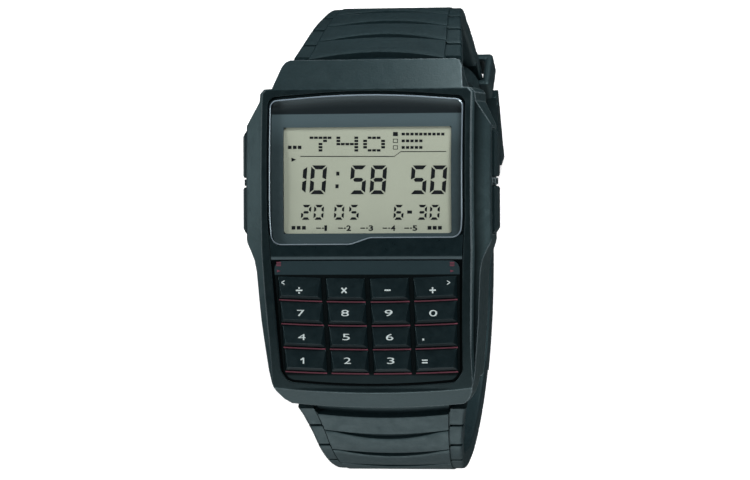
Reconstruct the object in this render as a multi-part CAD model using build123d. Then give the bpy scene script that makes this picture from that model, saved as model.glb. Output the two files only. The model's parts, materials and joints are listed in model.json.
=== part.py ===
from build123d import *
import math
import os

os.makedirs("parts", exist_ok=True)

# Digital calculator wristwatch, millimetres.
# X: towards 3 o'clock, Y: towards 12 o'clock, Z: out of the dial.
# Origin: centre of the case back's outer face.

# ---------------------------------------------------------------- dimensions
ARC_R = 87.0          # the front is one long arc over the case's length
ARC_Y = 6.0           # where that arc is highest
TOP_Z = 11.7          # crystal apex above the case back
TAU = 12.4            # tilt of the key pad, degrees
KEY_Y0, KEY_Z0 = -3.75, 11.0   # upper edge of the key pad plane
LIP_DROP = 0.10       # case lip below the crystal arc
FLANK_X, FLANK_SLOPE = 14.4, 32.0
BACK_T = 1.0          # case back thickness
SHELL_Z = 0.3         # case shell's underside, the back stands 0.3 proud
CAV_X, CAV_TOP, CAV_BOT, CAV_CUT = 13.0, 17.7, -18.3, 3.6
PIVOT_12 = (22.6, 3.9)         # spring bar axes (Y, Z)
PIVOT_6 = (-22.6, 1.2)
ROOT_R, RECESS_R = 1.8, 1.95
BAR_R, BAR_TIP_R = 0.70, 0.45
LUG_X0, LUG_X1 = 9.7, 12.1
STRAP_T, TAIL_T = 2.6, 2.2
Z_FLOOR = -42.0       # what the closed strap stands on
BTN_Y = {"upper": (7.75, 14.4), "lower": (-0.25, 6.4)}
BTN_Z = (6.05, 8.75)
BTN_X = 18.3
BTN_TRAVEL = 0.65
STEM_Z = 7.0
KEY_TRAVEL = 0.4
KEY_LOW, KEY_HIGH = 0.22, 0.82      # the key top above the pad at its upper and lower edge
LCD_X, LCD_Y0, LCD_Y1 = 12.04, -0.19, 14.78
# crimson line under each key row, measured down the key pad plane
RED = [-2.62, -6.2, -9.66, -13.1, -16.62]
BOW_R = 230.0         # key rows bow down by this radius
COLS = [(-12.8, -6.62), (-5.95, -0.36), (0.36, 5.95), (6.62, 12.8)]
KEYS = [
    ["key_divide", "key_multiply", "key_minus", "key_plus"],
    ["key_7", "key_8", "key_9", "key_0"],
    ["key_4", "key_5", "key_6", "key_dot"],
    ["key_1", "key_2", "key_3", "key_equals"],
]

T = math.radians(TAU)
KP = Plane(origin=(0, KEY_Y0, KEY_Z0), x_dir=(1, 0, 0), z_dir=(0, -math.sin(T), math.cos(T)))


# ---------------------------------------------------------------- helpers
def rounded(pts):
    """Edges of a closed outline; each point is (x, y) or (x, y, radius)."""
    n, edges, ends = len(pts), [], []
    for i, p in enumerate(pts):
        a, b = pts[i - 1], pts[(i + 1) % n]
        r = p[2] if len(p) > 2 else 0
        if r <= 0:
            ends.append((p[:2], None, p[:2]))
            continue
        u = ((a[0] - p[0]), (a[1] - p[1]))
        v = ((b[0] - p[0]), (b[1] - p[1]))
        lu, lv = math.hypot(*u), math.hypot(*v)
        u, v = (u[0] / lu, u[1] / lu), (v[0] / lv, v[1] / lv)
        half = math.acos(max(-1, min(1, u[0] * v[0] + u[1] * v[1]))) / 2
        t = r / math.tan(half)
        m = ((u[0] + v[0]), (u[1] + v[1]))
        lm = math.hypot(*m)
        c = r / math.sin(half)
        mid = (p[0] + m[0] / lm * (c - r), p[1] + m[1] / lm * (c - r))
        ends.append(((p[0] + u[0] * t, p[1] + u[1] * t), mid, (p[0] + v[0] * t, p[1] + v[1] * t)))
    for i in range(n):
        s, m, e = ends[i]
        if m is not None:
            edges.append(ThreePointArc(s, m, e))
        nxt = ends[(i + 1) % n][0]
        if math.dist(e, nxt) > 1e-6:
            edges.append(Line(e, nxt))
    return edges


def face(pts):
    return make_face(rounded(pts))


def sym(pts):
    """Right-hand points, top to bottom, mirrored to a closed outline."""
    return list(pts) + [(-p[0],) + tuple(p[1:]) for p in reversed(pts)]


def grow(pts, d):
    """Offset a convex-ish symmetric outline by d (positive outwards)."""
    n, out = len(pts), []
    area = sum(pts[i][0] * pts[(i + 1) % n][1] - pts[(i + 1) % n][0] * pts[i][1] for i in range(n))
    s = 1 if area > 0 else -1
    for i, p in enumerate(pts):
        a, b = pts[i - 1], pts[(i + 1) % n]
        e1 = (p[0] - a[0], p[1] - a[1])
        e2 = (b[0] - p[0], b[1] - p[1])
        l1, l2 = math.hypot(*e1), math.hypot(*e2)
        n1 = (s * e1[1] / l1, -s * e1[0] / l1)
        n2 = (s * e2[1] / l2, -s * e2[0] / l2)
        k = 1 + n1[0] * n2[0] + n1[1] * n2[1]
        q = (p[0] + d * (n1[0] + n2[0]) / k, p[1] + d * (n1[1] + n2[1]) / k)
        out.append(q + ((max(0.05, p[2] + d),) if len(p) > 2 and p[2] > 0 else ()))
    return out


def xy(f, z0, z1):
    return Pos(0, 0, z0) * extrude(f, amount=z1 - z0)


def yz(f, x0, x1):
    """A face drawn as (Y, Z), extruded along X."""
    return extrude(Plane(origin=(x0, 0, 0), x_dir=(0, 1, 0), z_dir=(1, 0, 0)) * f, amount=x1 - x0)


def xz(f, y0, y1):
    """A face drawn as (X, Z), extruded along Y from y0 to y1."""
    return extrude(Plane(origin=(0, y1, 0), x_dir=(1, 0, 0), z_dir=(0, -1, 0)) * f, amount=y1 - y0)


def cyl_x(r, x0, x1, y, z):
    return Pos((x0 + x1) / 2, y, z) * Rot(0, 90, 0) * Cylinder(r, x1 - x0)


def cyl_z(r, z0, z1, x, y):
    return Pos(x, y, (z0 + z1) / 2) * Cylinder(r, z1 - z0)


def box(x0, x1, y0, y1, z0, z1):
    return Pos((x0 + x1) / 2, (y0 + y1) / 2, (z0 + z1) / 2) * Box(x1 - x0, y1 - y0, z1 - z0)


def arc_z(y, d=0.0):
    return TOP_Z - ARC_R + math.sqrt((ARC_R + d) ** 2 - (y - ARC_Y) ** 2)


def plane_z(y, w=0.0):
    """Height of the key pad plane, moved w along its normal."""
    return KEY_Z0 + math.tan(T) * (y - KEY_Y0) + w / math.cos(T)


def arc_edges(d, y0, y1):
    ym = (y0 + y1) / 2
    return ThreePointArc((y0, arc_z(y0, d)), (ym, arc_z(ym, d)), (y1, arc_z(y1, d)))


def arc_slab(d0, d1, y0, y1, x):
    """Between two offsets of the front arc."""
    return yz(make_face([
        arc_edges(d1, y0, y1), Line((y1, arc_z(y1, d1)), (y1, arc_z(y1, d0))),
        arc_edges(d0, y1, y0), Line((y0, arc_z(y0, d0)), (y0, arc_z(y0, d1))),
    ]), -x, x)


def under(edges_top, bottom, x0, x1):
    """Below a list of (Y, Z) edges that run from high Y to low Y."""
    first, last = edges_top[0] @ 0, edges_top[-1] @ 1
    return yz(make_face(edges_top + [
        Line((last.X, last.Y), (last.X, bottom)), Line((last.X, bottom), (first.X, bottom)),
        Line((first.X, bottom), (first.X, first.Y))]), x0, x1)


def one(shape, what):
    """Keep a single clean solid."""
    s = sorted(shape.solids(), key=lambda k: -k.volume)
    if len(s) > 1:
        print("note:", what, "had", len(s), "solids", [round(k.volume, 3) for k in s[:5]])
    return s[0]


PARTS = {}


def keep(name, shape):
    PARTS[name] = shape


def soften(shape, pick, r, what):
    """Fillet the picked edges; a smaller radius or none where it can't be made."""
    for k in (1.0, 0.7, 0.45):
        try:
            edges = pick(shape)
            if not edges:
                print("soften: no edges", what)
                return shape
            out = fillet(edges, r * k)
            if out.is_valid and abs(out.volume - shape.volume) < 0.2 * shape.volume:
                return out
        except Exception:
            pass
    print("soften failed:", what)
    return shape


# ---------------------------------------------------------------- outlines
O2_R = [(11.95, 24.45), (12.58, 24.12), (12.97, 23.4), (13.68, 20.28), (14.8, 20.2), (15.42, 19.6),
        (15.52, 18.4), (17.5, 15.2), (17.62, 14.9), (17.62, -0.95), (17.48, -1.5), (16.85, -2.8),
        (16.35, -4.0), (16.05, -5.6), (15.62, -12.5), (14.88, -19.5), (14.55, -21.3), (14.1, -22.6), (13.35, -23.7),
        (12.3, -24.45), (0.0, -25.5)]
O1_R = [(14.5, 20.14), (15.03, 19.57), (15.05, -2.5), (14.8, -9.0), (14.3, -19.6), (13.75, -21.9),
        (12.8, -22.75), (0.0, -23.4)]
F_R = [(14.2, 19.05, 1.35), (14.18, 2.0), (13.9, -1.8), (13.72, -4.5), (13.1, -19.65, 1.2),
       (12.05, -21.15, 1.2)]
OPEN = [(0.0, 20.15, 110.0)] + F_R + [(0.0, -22.2, 110.0)] + [(-p[0],) + tuple(p[1:]) for p in reversed(F_R)]
CRYSTAL = [(0.0, 19.7, 110.0), (13.85, 18.6, 1.1), (13.82, 2.0), (13.6, -0.86, 1.5),
           (0.6, -0.86, 2.5), (-2.2, -1.8, 2.5), (-13.6, -1.8, 1.5), (-13.82, 2.0), (-13.85, 18.6, 1.1)]
C_OUT = sym([(CAV_X - CAV_CUT, CAV_TOP), (CAV_X, CAV_TOP - CAV_CUT), (CAV_X, CAV_BOT + CAV_CUT),
             (CAV_X - CAV_CUT, CAV_BOT)])
BACK = sym([(13.3, 18.45), (13.95, 17.8), (13.95, -18.7), (13.3, -19.35)])
SCREWS = [(12.6, 16.85, 4.2), (-12.6, 16.85, 4.2), (12.6, -18.1, 3.2), (-12.6, -18.1, 3.2)]   # x, y, tip height

# ---------------------------------------------------------------- case shell
y_top, y_bot = 20.12, -22.95
z_a, z_b = arc_z(y_top, -LIP_DROP), arc_z(y_bot, -LIP_DROP)
profile = [arc_edges(-LIP_DROP, y_top, y_bot)] + [Line(a, b) for a, b in zip(
    [(y_bot, z_b), (-24.95, 3.3), (-24.7, 2.75), (-20.4, 2.75), (-20.4, 1.2), (-19.7, SHELL_Z), (19.2, SHELL_Z),
     (20.4, 1.6), (20.4, 5.25), (24.2, 5.25), (24.45, 5.9)],
    [(-24.95, 3.3), (-24.7, 2.75), (-20.4, 2.75), (-20.4, 1.2), (-19.7, SHELL_Z), (19.2, SHELL_Z),
     (20.4, 1.6), (20.4, 5.25), (24.2, 5.25), (24.45, 5.9), (y_top, z_a)])]
main = yz(make_face(profile), -20, 20)
body = main & xy(make_face(rounded(sym(O2_R))), -2, 14)

# side flanks slope down from the lip
fa = math.radians(FLANK_SLOPE)
flank_top = [Line((25.0, arc_z(25.0, -LIP_DROP)), (y_top, z_a)), arc_edges(-LIP_DROP, y_top, -26.0)]
flank_face = make_face(flank_top + [Line((-26.0, arc_z(-26.0, -LIP_DROP)), (-26.0, -20)), Line((-26.0, -20), (25.0, -20)),
                                    Line((25.0, -20), (25.0, arc_z(25.0, -LIP_DROP)))])
side_r = extrude(Plane(origin=(FLANK_X, 0, 0), x_dir=(0, 1, 0), z_dir=(1, 0, 0)) * flank_face,
                 amount=6.5, dir=(math.cos(fa), 0, -math.sin(fa)))
flanks = yz(flank_face, -FLANK_X, FLANK_X) + side_r + mirror(side_r, about=Plane.YZ)
hood = main & xy(face(sym([(11.95, 24.45, 0.01), (12.58, 24.12), (12.97, 23.4), (13.68, 20.28), (13.9, 18.0)])), -2, 14)
lip = main & xy(make_face(rounded(sym(O1_R))), 4, 14)
shell = (body & flanks) + lip + hood

# the lower end is bowed across the width: its ridge and end face are turned about a far upright axis
BOW_END = 130.0
end_cut = make_face([Line(a, b) for a, b in zip(
    [(y_bot - 0.02, 14.0), (y_bot, z_b), (-24.95, 3.3), (-24.7, 2.75), (-24.7, -1.0), (-30.0, -1.0), (-30.0, 14.0)],
    [(y_bot, z_b), (-24.95, 3.3), (-24.7, 2.75), (-24.7, -1.0), (-30.0, -1.0), (-30.0, 14.0), (y_bot - 0.02, 14.0)])])
end_cut = Plane(origin=(0, 0, 0), x_dir=(0, 1, 0), z_dir=(1, 0, 0)) * end_cut
far = Axis((0, -24.95 + BOW_END, 0), (0, 0, 1))
shell -= revolve(end_cut, axis=far, revolution_arc=9) + revolve(end_cut, axis=Axis(far.position, (0, 0, -1)), revolution_arc=9)

# undersides of the sides taper in
wedge = face([(17.9, 5.7), (15.2, 1.2), (14.55, 0.2), (14.55, -2), (20, -2), (20, 5.7)])
for s in (1, -1):
    w = xz(wedge, -26, 26)
    shell -= w if s > 0 else mirror(w, about=Plane.YZ)

# strap recesses at both ends, and the lugs
for (py, pz), s in ((PIVOT_12, 1), (PIVOT_6, -1)):
    shell -= cyl_x(RECESS_R, -13.5, 13.5, py, pz)
    for m in (1, -1):
        x0, x1 = sorted((m * LUG_X0, m * LUG_X1))
        lug = cyl_x(ROOT_R, x0, x1, py, pz) + box(x0, x1, min(py, s * 20.0), max(py, s * 20.0), pz - ROOT_R, pz + ROOT_R)
        lug += box(x0, x1, min(s * 21.2, s * 23.4), max(s * 21.2, s * 23.4), pz, pz + (2.3 if s > 0 else 2.1))
        shell += lug
        shell -= cyl_x(BAR_TIP_R + 0.02, m * LUG_X0 - 0.3 * m, m * 11.5, py, pz) if m > 0 else cyl_x(
            BAR_TIP_R + 0.02, m * 11.5, m * LUG_X0 + 0.3, py, pz)
shell = one(shell, "case_shell outer")

# soften the outer edges before hollowing
def ridge(y, z):
    """Long edges across the case near (y, z)."""
    return lambda s: [e for e in s.edges() if e.bounding_box().size.X > 5 and e.bounding_box().size.Z < 0.3
                      and abs(e.center().Y - y) < 0.45 and abs(e.center().Z - z) < 0.3]


shell = soften(shell, ridge(y_top, z_a), 0.35, "upper ridge")
shell = soften(shell, ridge(y_bot, z_b), 0.35, "lower ridge")
shell = soften(shell, lambda s: [e for e in s.edges() if abs(abs(e.center().X) - 17.62) < 0.03 and e.length > 8
                                 and e.center().Z > 8], 0.4, "guard edges")

# hollows
pocket = xy(make_face(rounded(OPEN)), 2, 14) & (
    under([arc_edges(3.0, 21.0, -23.0)], -1, -16, 16)
    - under([arc_edges(-2.25, 21.0, -3.9), Line((-3.9, arc_z(-3.9, -2.25)), (-5.5, plane_z(-5.5, -1.15))),
             Line((-5.5, plane_z(-5.5, -1.15)), (-23.0, plane_z(-23.0, -1.15)))], -2, -17, 17))
shell -= pocket
shell -= xy(make_face(rounded(C_OUT)), -1, 12) & (
    under([arc_edges(-1.5, 21.0, -3.9), Line((-3.9, arc_z(-3.9, -1.5)), (-5.5, plane_z(-5.5, -0.5))),
           Line((-5.5, plane_z(-5.5, -0.5)), (-23.0, plane_z(-23.0, -0.5)))], -3, -17, 17))
# the key pad's sheets lie in a full-width pocket under the keys
shell -= yz(face([(-3.9, plane_z(-3.9, -0.5)), (-3.9, plane_z(-3.9, -3.5)), (-20.05, plane_z(-20.05, -3.5)),
                  (-20.05, plane_z(-20.05, -0.5))]), -13.0, 13.0)
shell -= xy(make_face(rounded(grow(BACK, 0.05))), -1, BACK_T + 0.02)
for x, y, tip in SCREWS:
    shell -= cyl_z(0.62, 0, tip + 0.2, x, y)
# groove for the back's gasket
g_back = xy(make_face(rounded(grow(C_OUT, 0.62))) - make_face(rounded(grow(C_OUT, 0.25))), BACK_T + 0.02, BACK_T + 0.5)
shell -= g_back

# button pockets, stem holes and the fixed nub between the buttons
for s in (1, -1):
    for k, (y0, y1) in BTN_Y.items():
        yc = (y0 + y1) / 2
        shell -= box(*sorted((s * 16.0, s * 19.5)), y0 - 0.12, y1 + 0.12, BTN_Z[0] - 0.12, BTN_Z[1] + 0.12)
        shell -= cyl_x(0.6, *sorted((s * 12.0, s * 17.0)), yc, STEM_Z)
        shell -= cyl_x(1.07, *sorted((s * 15.2, s * 16.5)), yc, STEM_Z)
    nub = box(*sorted((s * 17.0, s * 18.05)), 6.62, 7.54, 6.3, 8.6)
    shell += nub
keep("case_shell", one(shell, "case_shell"))

# ---------------------------------------------------------------- front parts
panel_out = grow(OPEN, -0.08)
panel = xy(make_face(rounded(panel_out)), 3, 13) & (
    under([Line((21.0, arc_z(21.0, -0.5)), (20.9, arc_z(20.9, -0.5))), arc_edges(-0.5, 20.9, -0.5), Line((-0.5, arc_z(-0.5, -0.5)), (-0.5, arc_z(-0.5, -0.04))),
           arc_edges(-0.04, -0.5, -3.45), Line((-3.45, arc_z(-3.45, -0.04)), (KEY_Y0, KEY_Z0)),
           Line((KEY_Y0, KEY_Z0), (-23.0, plane_z(-23.0)))], 2, -16, 16)
    - under([arc_edges(-2.2, 21.5, -3.9), Line((-3.9, arc_z(-3.9, -2.2)), (-5.2, plane_z(-5.2, -1.05))),
             Line((-5.2, plane_z(-5.2, -1.05)), (-24.0, plane_z(-24.0, -1.05)))], -2, -17, 17))
panel -= xy(make_face(rounded(grow(CRYSTAL, 0.06))), 3, 14) & arc_slab(-1.44, 3, -4, 21, 16)
panel -= box(-12.2, 12.2, -0.3, 14.95, 5, 13)
g_front = (xy(make_face(rounded(grow(CRYSTAL, -0.15))), 3, 14) - xy(make_face(rounded(grow(CRYSTAL, -0.42))), 3, 14)) & arc_slab(
    -1.9, -1.44, -4, 21, 16)
panel -= g_front
for r in range(4):
    for c, (x0, x1) in enumerate(COLS):
        taper = 1 - 0.03 * r / 3
        a, b = x0 * taper, x1 * taper
        top, bot = RED[r] - 0.20, RED[r + 1] + 0.20
        g = 0.05

        def bow(x):
            return x * x / (2 * BOW_R)
        f = face([(a - g, top + bow(a) + g), (b + g, top + bow(b) + g), (b + g, bot + bow(b) - g), (a - g, bot + bow(a) - g)])
        panel -= extrude(KP.offset(-3) * f, amount=6)
keep("front_panel", one(panel, "front_panel"))

crystal = xy(make_face(rounded(CRYSTAL)), 3, 14) & arc_slab(-1.2, 0, -4, 21, 16)
crystal = soften(crystal, lambda s: [e for e in s.edges() if abs(e.center().Z - arc_z(e.center().Y, 0)) < 0.12
                                     and e.length > 0.3 and (abs(e.center().X) > 1 or True)], 0.35, "crystal rim")
keep("crystal", one(crystal, "crystal"))

mask = (xy(make_face(rounded(grow(CRYSTAL, -0.05))), 3, 14) & arc_slab(-1.42, -1.22, -4, 21, 16)) - box(
    -LCD_X, LCD_X, LCD_Y0, LCD_Y1, 5, 13)
keep("display_mask", one(mask, "display_mask"))
keep("crystal_gasket", one(g_front, "crystal_gasket"))

# ---------------------------------------------------------------- keys
for r in range(4):
    for c, (x0, x1) in enumerate(COLS):
        taper = 1 - 0.03 * r / 3
        a, b = x0 * taper, x1 * taper
        top, bot = RED[r] - 0.20, RED[r + 1] + 0.20

        def bow(x):
            return x * x / (2 * BOW_R)

        def quad(dx0, dx1, dt, db):
            return face([(a + dx0, top + bow(a) - dt), (b - dx1, top + bow(b) - dt),
                         (b - dx1, bot + bow(b) + db), (a + dx0, bot + bow(a) + db)])
        lower = extrude(KP.offset(-1.10) * quad(0, 0, 0, 0), amount=1.20)
        lean = (bow(b) - bow(a)) / (b - a)

        def at(u, v, w):
            return KP.from_local_coords(Vector(u, v + bow(a) + lean * (u - a), w))
        foot = Wire.make_polygon([at(a, top, 0.1), at(b, top, 0.1), at(b, bot, 0.1), at(a, bot, 0.1)], close=True)
        crest = Wire.make_polygon([at(a + 0.10, top - 0.10, KEY_LOW), at(b - 0.10, top - 0.10, KEY_LOW),
                                   at(b - 0.50, bot + 0.62, KEY_HIGH), at(a + 0.50, bot + 0.62, KEY_HIGH)], close=True)
        upper = Solid.make_loft([foot, crest], True)
        flange = extrude(KP.offset(-1.55) * quad(-0.2 if c else -0.15, -0.2 if c < 3 else -0.15, 0.0, 0.0), amount=0.50)
        xc, yc = (a + b) / 2, (top + bot) / 2 + bow((a + b) / 2)
        boss = extrude(KP.offset(-1.75) * (Pos(xc, yc) * Rectangle(2.4, 1.2)), amount=0.4)
        keep(KEYS[r][c], one(lower + upper + flange + boss, KEYS[r][c]))

sheet_f = face(sym([(12.75, -1.3, 0.4), (12.6, -16.0, 0.4)]))
membrane = extrude(KP.offset(-2.75) * sheet_f, amount=0.5)
kboard = extrude(KP.offset(-3.32) * sheet_f, amount=0.54)
for r in range(4):
    for c, (x0, x1) in enumerate(COLS):
        taper = 1 - 0.03 * r / 3
        xc = (x0 + x1) / 2 * taper
        yc = (RED[r] + RED[r + 1]) / 2 + xc * xc / (2 * BOW_R)
        membrane += extrude(KP.offset(-2.3) * (Pos(xc, yc) * Circle(1.1)), amount=0.52, taper=25)
keep("keypad_membrane", one(membrane, "keypad_membrane"))
keep("keypad_board", one(kboard, "keypad_board"))

# ---------------------------------------------------------------- side buttons
springs, gaskets, contacts = [], [], []
for s, side in ((-1, "left"), (1, "right")):
    for k, (y0, y1) in BTN_Y.items():
        yc, zc = (y0 + y1) / 2, (BTN_Z[0] + BTN_Z[1]) / 2
        cap_f = face([(16.75, BTN_Z[0]), (18.05, BTN_Z[0]), (BTN_X, BTN_Z[0] + 0.3), (BTN_X, BTN_Z[1] - 0.5), (17.95, BTN_Z[1]),
                      (16.75, BTN_Z[1])])
        cap = xz(cap_f, y0, y1)
        # the outer end is cut off at a slant, the inner end only slightly
        far_y, near_y, d = (y1, y0, 1) if k == "upper" else (y0, y1, -1)
        cap &= xy(make_face(Polyline((16, near_y), (BTN_X - 0.22, near_y), (BTN_X + 0.01, near_y + d * 0.3), (BTN_X + 0.01, far_y - d * 0.85),
                                     (BTN_X - 0.62, far_y), (16, far_y), close=True)), 5, 11)
        cap -= cyl_x(1.12, 16.0, 17.6, yc, STEM_Z) - cyl_x(0.55, 15.9, 17.7, yc, STEM_Z)
        cap += cyl_x(0.55, 12.5, 17.65, yc, STEM_Z)
        clip = cyl_x(1.0, 12.7, 12.93, yc, STEM_Z) - cyl_x(0.56, 12.6, 13.1, yc, STEM_Z) - box(12.6, 13.1, yc - 0.3, yc + 0.3, STEM_Z, STEM_Z + 2)
        gas = cyl_x(1.05, 15.22, 15.78, yc, STEM_Z) - cyl_x(0.6, 15.0, 16.0, yc, STEM_Z)
        coil = Helix(pitch=0.42, height=1.5, radius=0.82)
        wire = sweep(Plane(coil @ 0, z_dir=coil % 0) * Circle(0.09), path=coil)
        coil_s = Pos(15.95, yc, STEM_Z) * Rot(0, 90, 0) * wire
        leaf = box(11.62, 11.78, yc - 0.9, yc + 0.9, 6.0, 7.6)
        items = [cap, clip, gas, coil_s, leaf]
        if s < 0:
            items = [mirror(i, about=Plane.YZ) for i in items]
        keep(f"button_{k}_{side}", one(items[0], "button"))
        keep(f"clip_{k}_{side}", one(items[1], "clip"))
        gaskets.append(one(items[2], "gasket"))
        springs.append(one(items[3], "spring"))
        contacts.append(one(items[4], "contact"))
keep("button_gaskets", Compound(children=gaskets))
keep("button_springs", Compound(children=springs))
keep("side_contacts", Compound(children=contacts))

# ---------------------------------------------------------------- back cover
back = xy(make_face(rounded(BACK)), 0, BACK_T)
for x, y, tip in SCREWS:
    back -= cyl_z(0.72, -1, 2, x, y)
    back -= cyl_z(1.12, -1, 0.5, x, y)
keep("case_back", one(back, "case_back"))
screws = []
for x, y, tip in SCREWS:
    sc = cyl_z(1.05, 0.08, 0.5, x, y) + cyl_z(0.6, 0.5, tip, x, y)
    sc -= box(x - 0.75, x + 0.75, y - 0.13, y + 0.13, -0.5, 0.26)
    sc -= box(x - 0.13, x + 0.13, y - 0.75, y + 0.75, -0.5, 0.26)
    screws.append(one(sc, "screw"))
keep("case_back_screws", Compound(children=screws))
keep("case_back_gasket", one(g_back, "case_back_gasket"))

# ---------------------------------------------------------------- module
frame = xy(make_face(rounded(grow(C_OUT, -0.35))), 1.4, 5.85) + box(-11.6, 11.6, -3.2, 17.2, 5.8, 7.65)
frame &= yz(face([(20, 1), (20, 9), (-3.4, 9), (-3.4, plane_z(-3.4, -3.4)), (-20, plane_z(-20, -3.4)), (-20, 1)]), -14, 14)
frame -= cyl_z(10.15, 1, 4.96, 0, 7.0)
frame -= box(-11.45, 11.45, -2.6, 16.9, 4.95, 5.86)
frame -= box(-10.9, 10.9, -2.4, 16.6, 5.8, 6.85)
frame -= box(-10.7, 10.7, 14.55, 15.75, 6.8, 8)
frame -= box(-10.7, 10.7, -1.35, -0.15, 6.8, 8)
frame -= box(-9.0, 9.0, -17.5, -5.0, 1.3, 2.0)
frame -= box(-5.2, 5.2, -7.5, -2.3, 4.6, 8)
frame &= xy(make_face(rounded(grow(C_OUT, -0.35))), 1, 9)
frame -= cyl_z(1.1, 1.2, 4.6, 0, -10.5)
BOARD_SCREWS = [(10.0, 15.5), (-10.0, 15.5), (10.0, -1.75), (-10.0, -1.75)]
for x, y in BOARD_SCREWS:
    frame -= cyl_z(0.34, 2.6, 5.9, x, y)
keep("module_frame", one(frame, "module_frame"))
keep("lcd_panel", one(box(-12.18, 12.18, -0.65, 14.8, 8.05, 8.98) - box(-12.6, 12.6, 14.2, 15.2, 8.6, 9.2)
                      + box(-12.1, 12.1, -0.22, 14.84, 8.62, 9.72), "lcd_panel"))
keep("backlight_panel", box(-11.4, 11.4, 0.1, 14.3, 7.72, 7.98))
keep("zebra_strips", Compound(children=[box(-10.4, 10.4, 14.7, 15.6 - 0.7, 5.85, 8.03), box(-10.4, 10.4, -0.62, -0.25, 5.85, 8.03)]))
board = box(-10.6, 10.6, -2.4, 16.1, 5.0, 5.8)
for x, y in BOARD_SCREWS:
    board -= cyl_z(0.38, 4, 7, x, y)
keep("main_board", one(board, "main_board"))
keep("processor", box(-4.2, 4.2, 3.0, 10.6, 5.82, 6.7))
keep("quartz_crystal", cyl_x(0.5, -9.8, -5.4, 12.6, 6.35))
keep("battery", one(cyl_z(10.0, 1.6, 4.1, 0, 7.0) - (cyl_z(10.5, 1.0, 1.9, 0, 7.0) - cyl_z(8.9, 1.0, 2.0, 0, 7.0)), "battery"))
clip_f = box(-11.6, 11.6, 5.6, 8.4, 1.12, 1.32) + box(-11.6, -11.3, 5.6, 8.4, 1.12, 1.39) + box(11.3, 11.6, 5.6, 8.4, 1.12, 1.39)
clip_f += box(-2.2, 2.2, 6.0, 8.0, 1.3, 1.57)
keep("battery_clip", one(clip_f, "battery_clip"))
keep("buzzer_disc", cyl_z(5.0, 1.10, 1.35, 0, -10.5))
bz = Helix(pitch=0.75, height=2.5, radius=0.75)
bzs = sweep(Plane(bz @ 0, z_dir=bz % 0) * Circle(0.14), path=bz)
keep("buzzer_spring", one(Pos(0, -10.5, 1.52) * bzs, "buzzer_spring"))
bs = []
for x, y in BOARD_SCREWS:
    bs.append(one(cyl_z(0.5, 5.82, 6.3, x, y) + cyl_z(0.32, 3.0, 5.85, x, y)
                  - box(x - 0.6, x + 0.6, y - 0.08, y + 0.08, 6.1, 6.5), "board screw"))
keep("board_screws", Compound(children=bs))
# flexible tail between the key pad board and the main board
ky = -6.9
flex_pts = [(ky, plane_z(ky, -3.36)), (-4.6, plane_z(-4.6, -3.36)), (-3.3, 6.3), (-2.3, 5.98), (-1.55, 5.98)]
top = flex_pts
bottom = [(y, z - 0.14) for y, z in flex_pts]
keep("keypad_flex", yz(face(top + bottom[::-1]), -4.6, 4.6))

# ---------------------------------------------------------------- straps
def chain(p0, h0, segs):
    """Tangent lines and arcs from p0: each segment is (length, curvature)."""
    out, p, h = [], p0, h0
    for L, k in segs:
        if abs(k) < 1e-9:
            q, m, h1 = (p[0] + L * math.cos(h), p[1] + L * math.sin(h)), None, h
        else:
            def at(s):
                return (p[0] + (math.sin(h + k * s) - math.sin(h)) / k, p[1] - (math.cos(h + k * s) - math.cos(h)) / k)
            q, m, h1 = at(L), at(L / 2), h + k * L
        out.append((p, m, q, h, h1, k, L))
        p, h = q, h1
    return out


def side(seg, d):
    """A chain's edge moved d to the left of its heading."""
    p, m, q, h, h1, k, L = seg

    def mv(a, ang):
        return (a[0] - d * math.sin(ang), a[1] + d * math.cos(ang))
    if m is None:
        return Line(mv(p, h), mv(q, h1))
    return ThreePointArc(mv(p, h), mv(m, (h + h1) / 2), mv(q, h1))


def at_s(segs, s):
    """Point and heading at a length along the chain."""
    for p, m, q, h, h1, k, L in segs:
        if s <= L + 1e-9:
            if m is None:
                return (p[0] + s * math.cos(h), p[1] + s * math.sin(h)), h
            return (p[0] + (math.sin(h + k * s) - math.sin(h)) / k, p[1] - (math.cos(h + k * s) - math.cos(h)) / k), h + k * s
        s -= L
    return segs[-1][2], segs[-1][4]


def ribbon(segs, d0, d1):
    """Face between two offsets of a chain."""
    a = [side(s, d0) for s in segs]
    b = [side(s, d1) for s in segs]
    s0, e0 = a[0] @ 0, a[-1] @ 1
    s1, e1 = b[0] @ 0, b[-1] @ 1
    return make_face(a + [Line((e0.X, e0.Y), (e1.X, e1.Y))] + b + [Line((s0.X, s0.Y), (s1.X, s1.Y))])


DEG = math.pi / 180
# the outer face of each half, starting beside its spring bar
H12, H6 = -61.0, 230.2
S12 = (PIVOT_12[0] + 1.5 * math.sin(-H12 * DEG), PIVOT_12[1] + 1.5 * math.cos(H12 * DEG))
S6 = (PIVOT_6[0] + 1.5 * math.sin(H6 * DEG), PIVOT_6[1] - 1.5 * math.cos(H6 * DEG))
SHORT = chain(S12, H12 * DEG, [(8.53, 0.0102), (8.12, -0.0321), (8.5, -0.0778), (13.5, -0.0248), (8.35, 0)])
LONG = chain(S6, H6 * DEG, [(9.55, -0.0091), (10.98, 0.0657), (12.08, 0.0527), (11.6, 0.0262)])
rem = 2 * math.pi - LONG[-1][4]
R5 = (LONG[-1][2][1] - Z_FLOOR) / (1 - math.cos(rem))
BEND = [(9.55, -0.0091), (10.98, 0.0657), (12.08, 0.0527), (11.6, 0.0262), (R5 * rem, 1 / R5)]
LONG = chain(S6, H6 * DEG, BEND)
KEEP_H = SHORT[-1][3]                      # heading of the straight stretch that carries the keeper
print("short end", SHORT[-1][2], "heading", KEEP_H / DEG, "straight starts", SHORT[-1][0])
print("long flat starts", LONG[-1][2], "heading", LONG[-1][4] / DEG)

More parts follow.
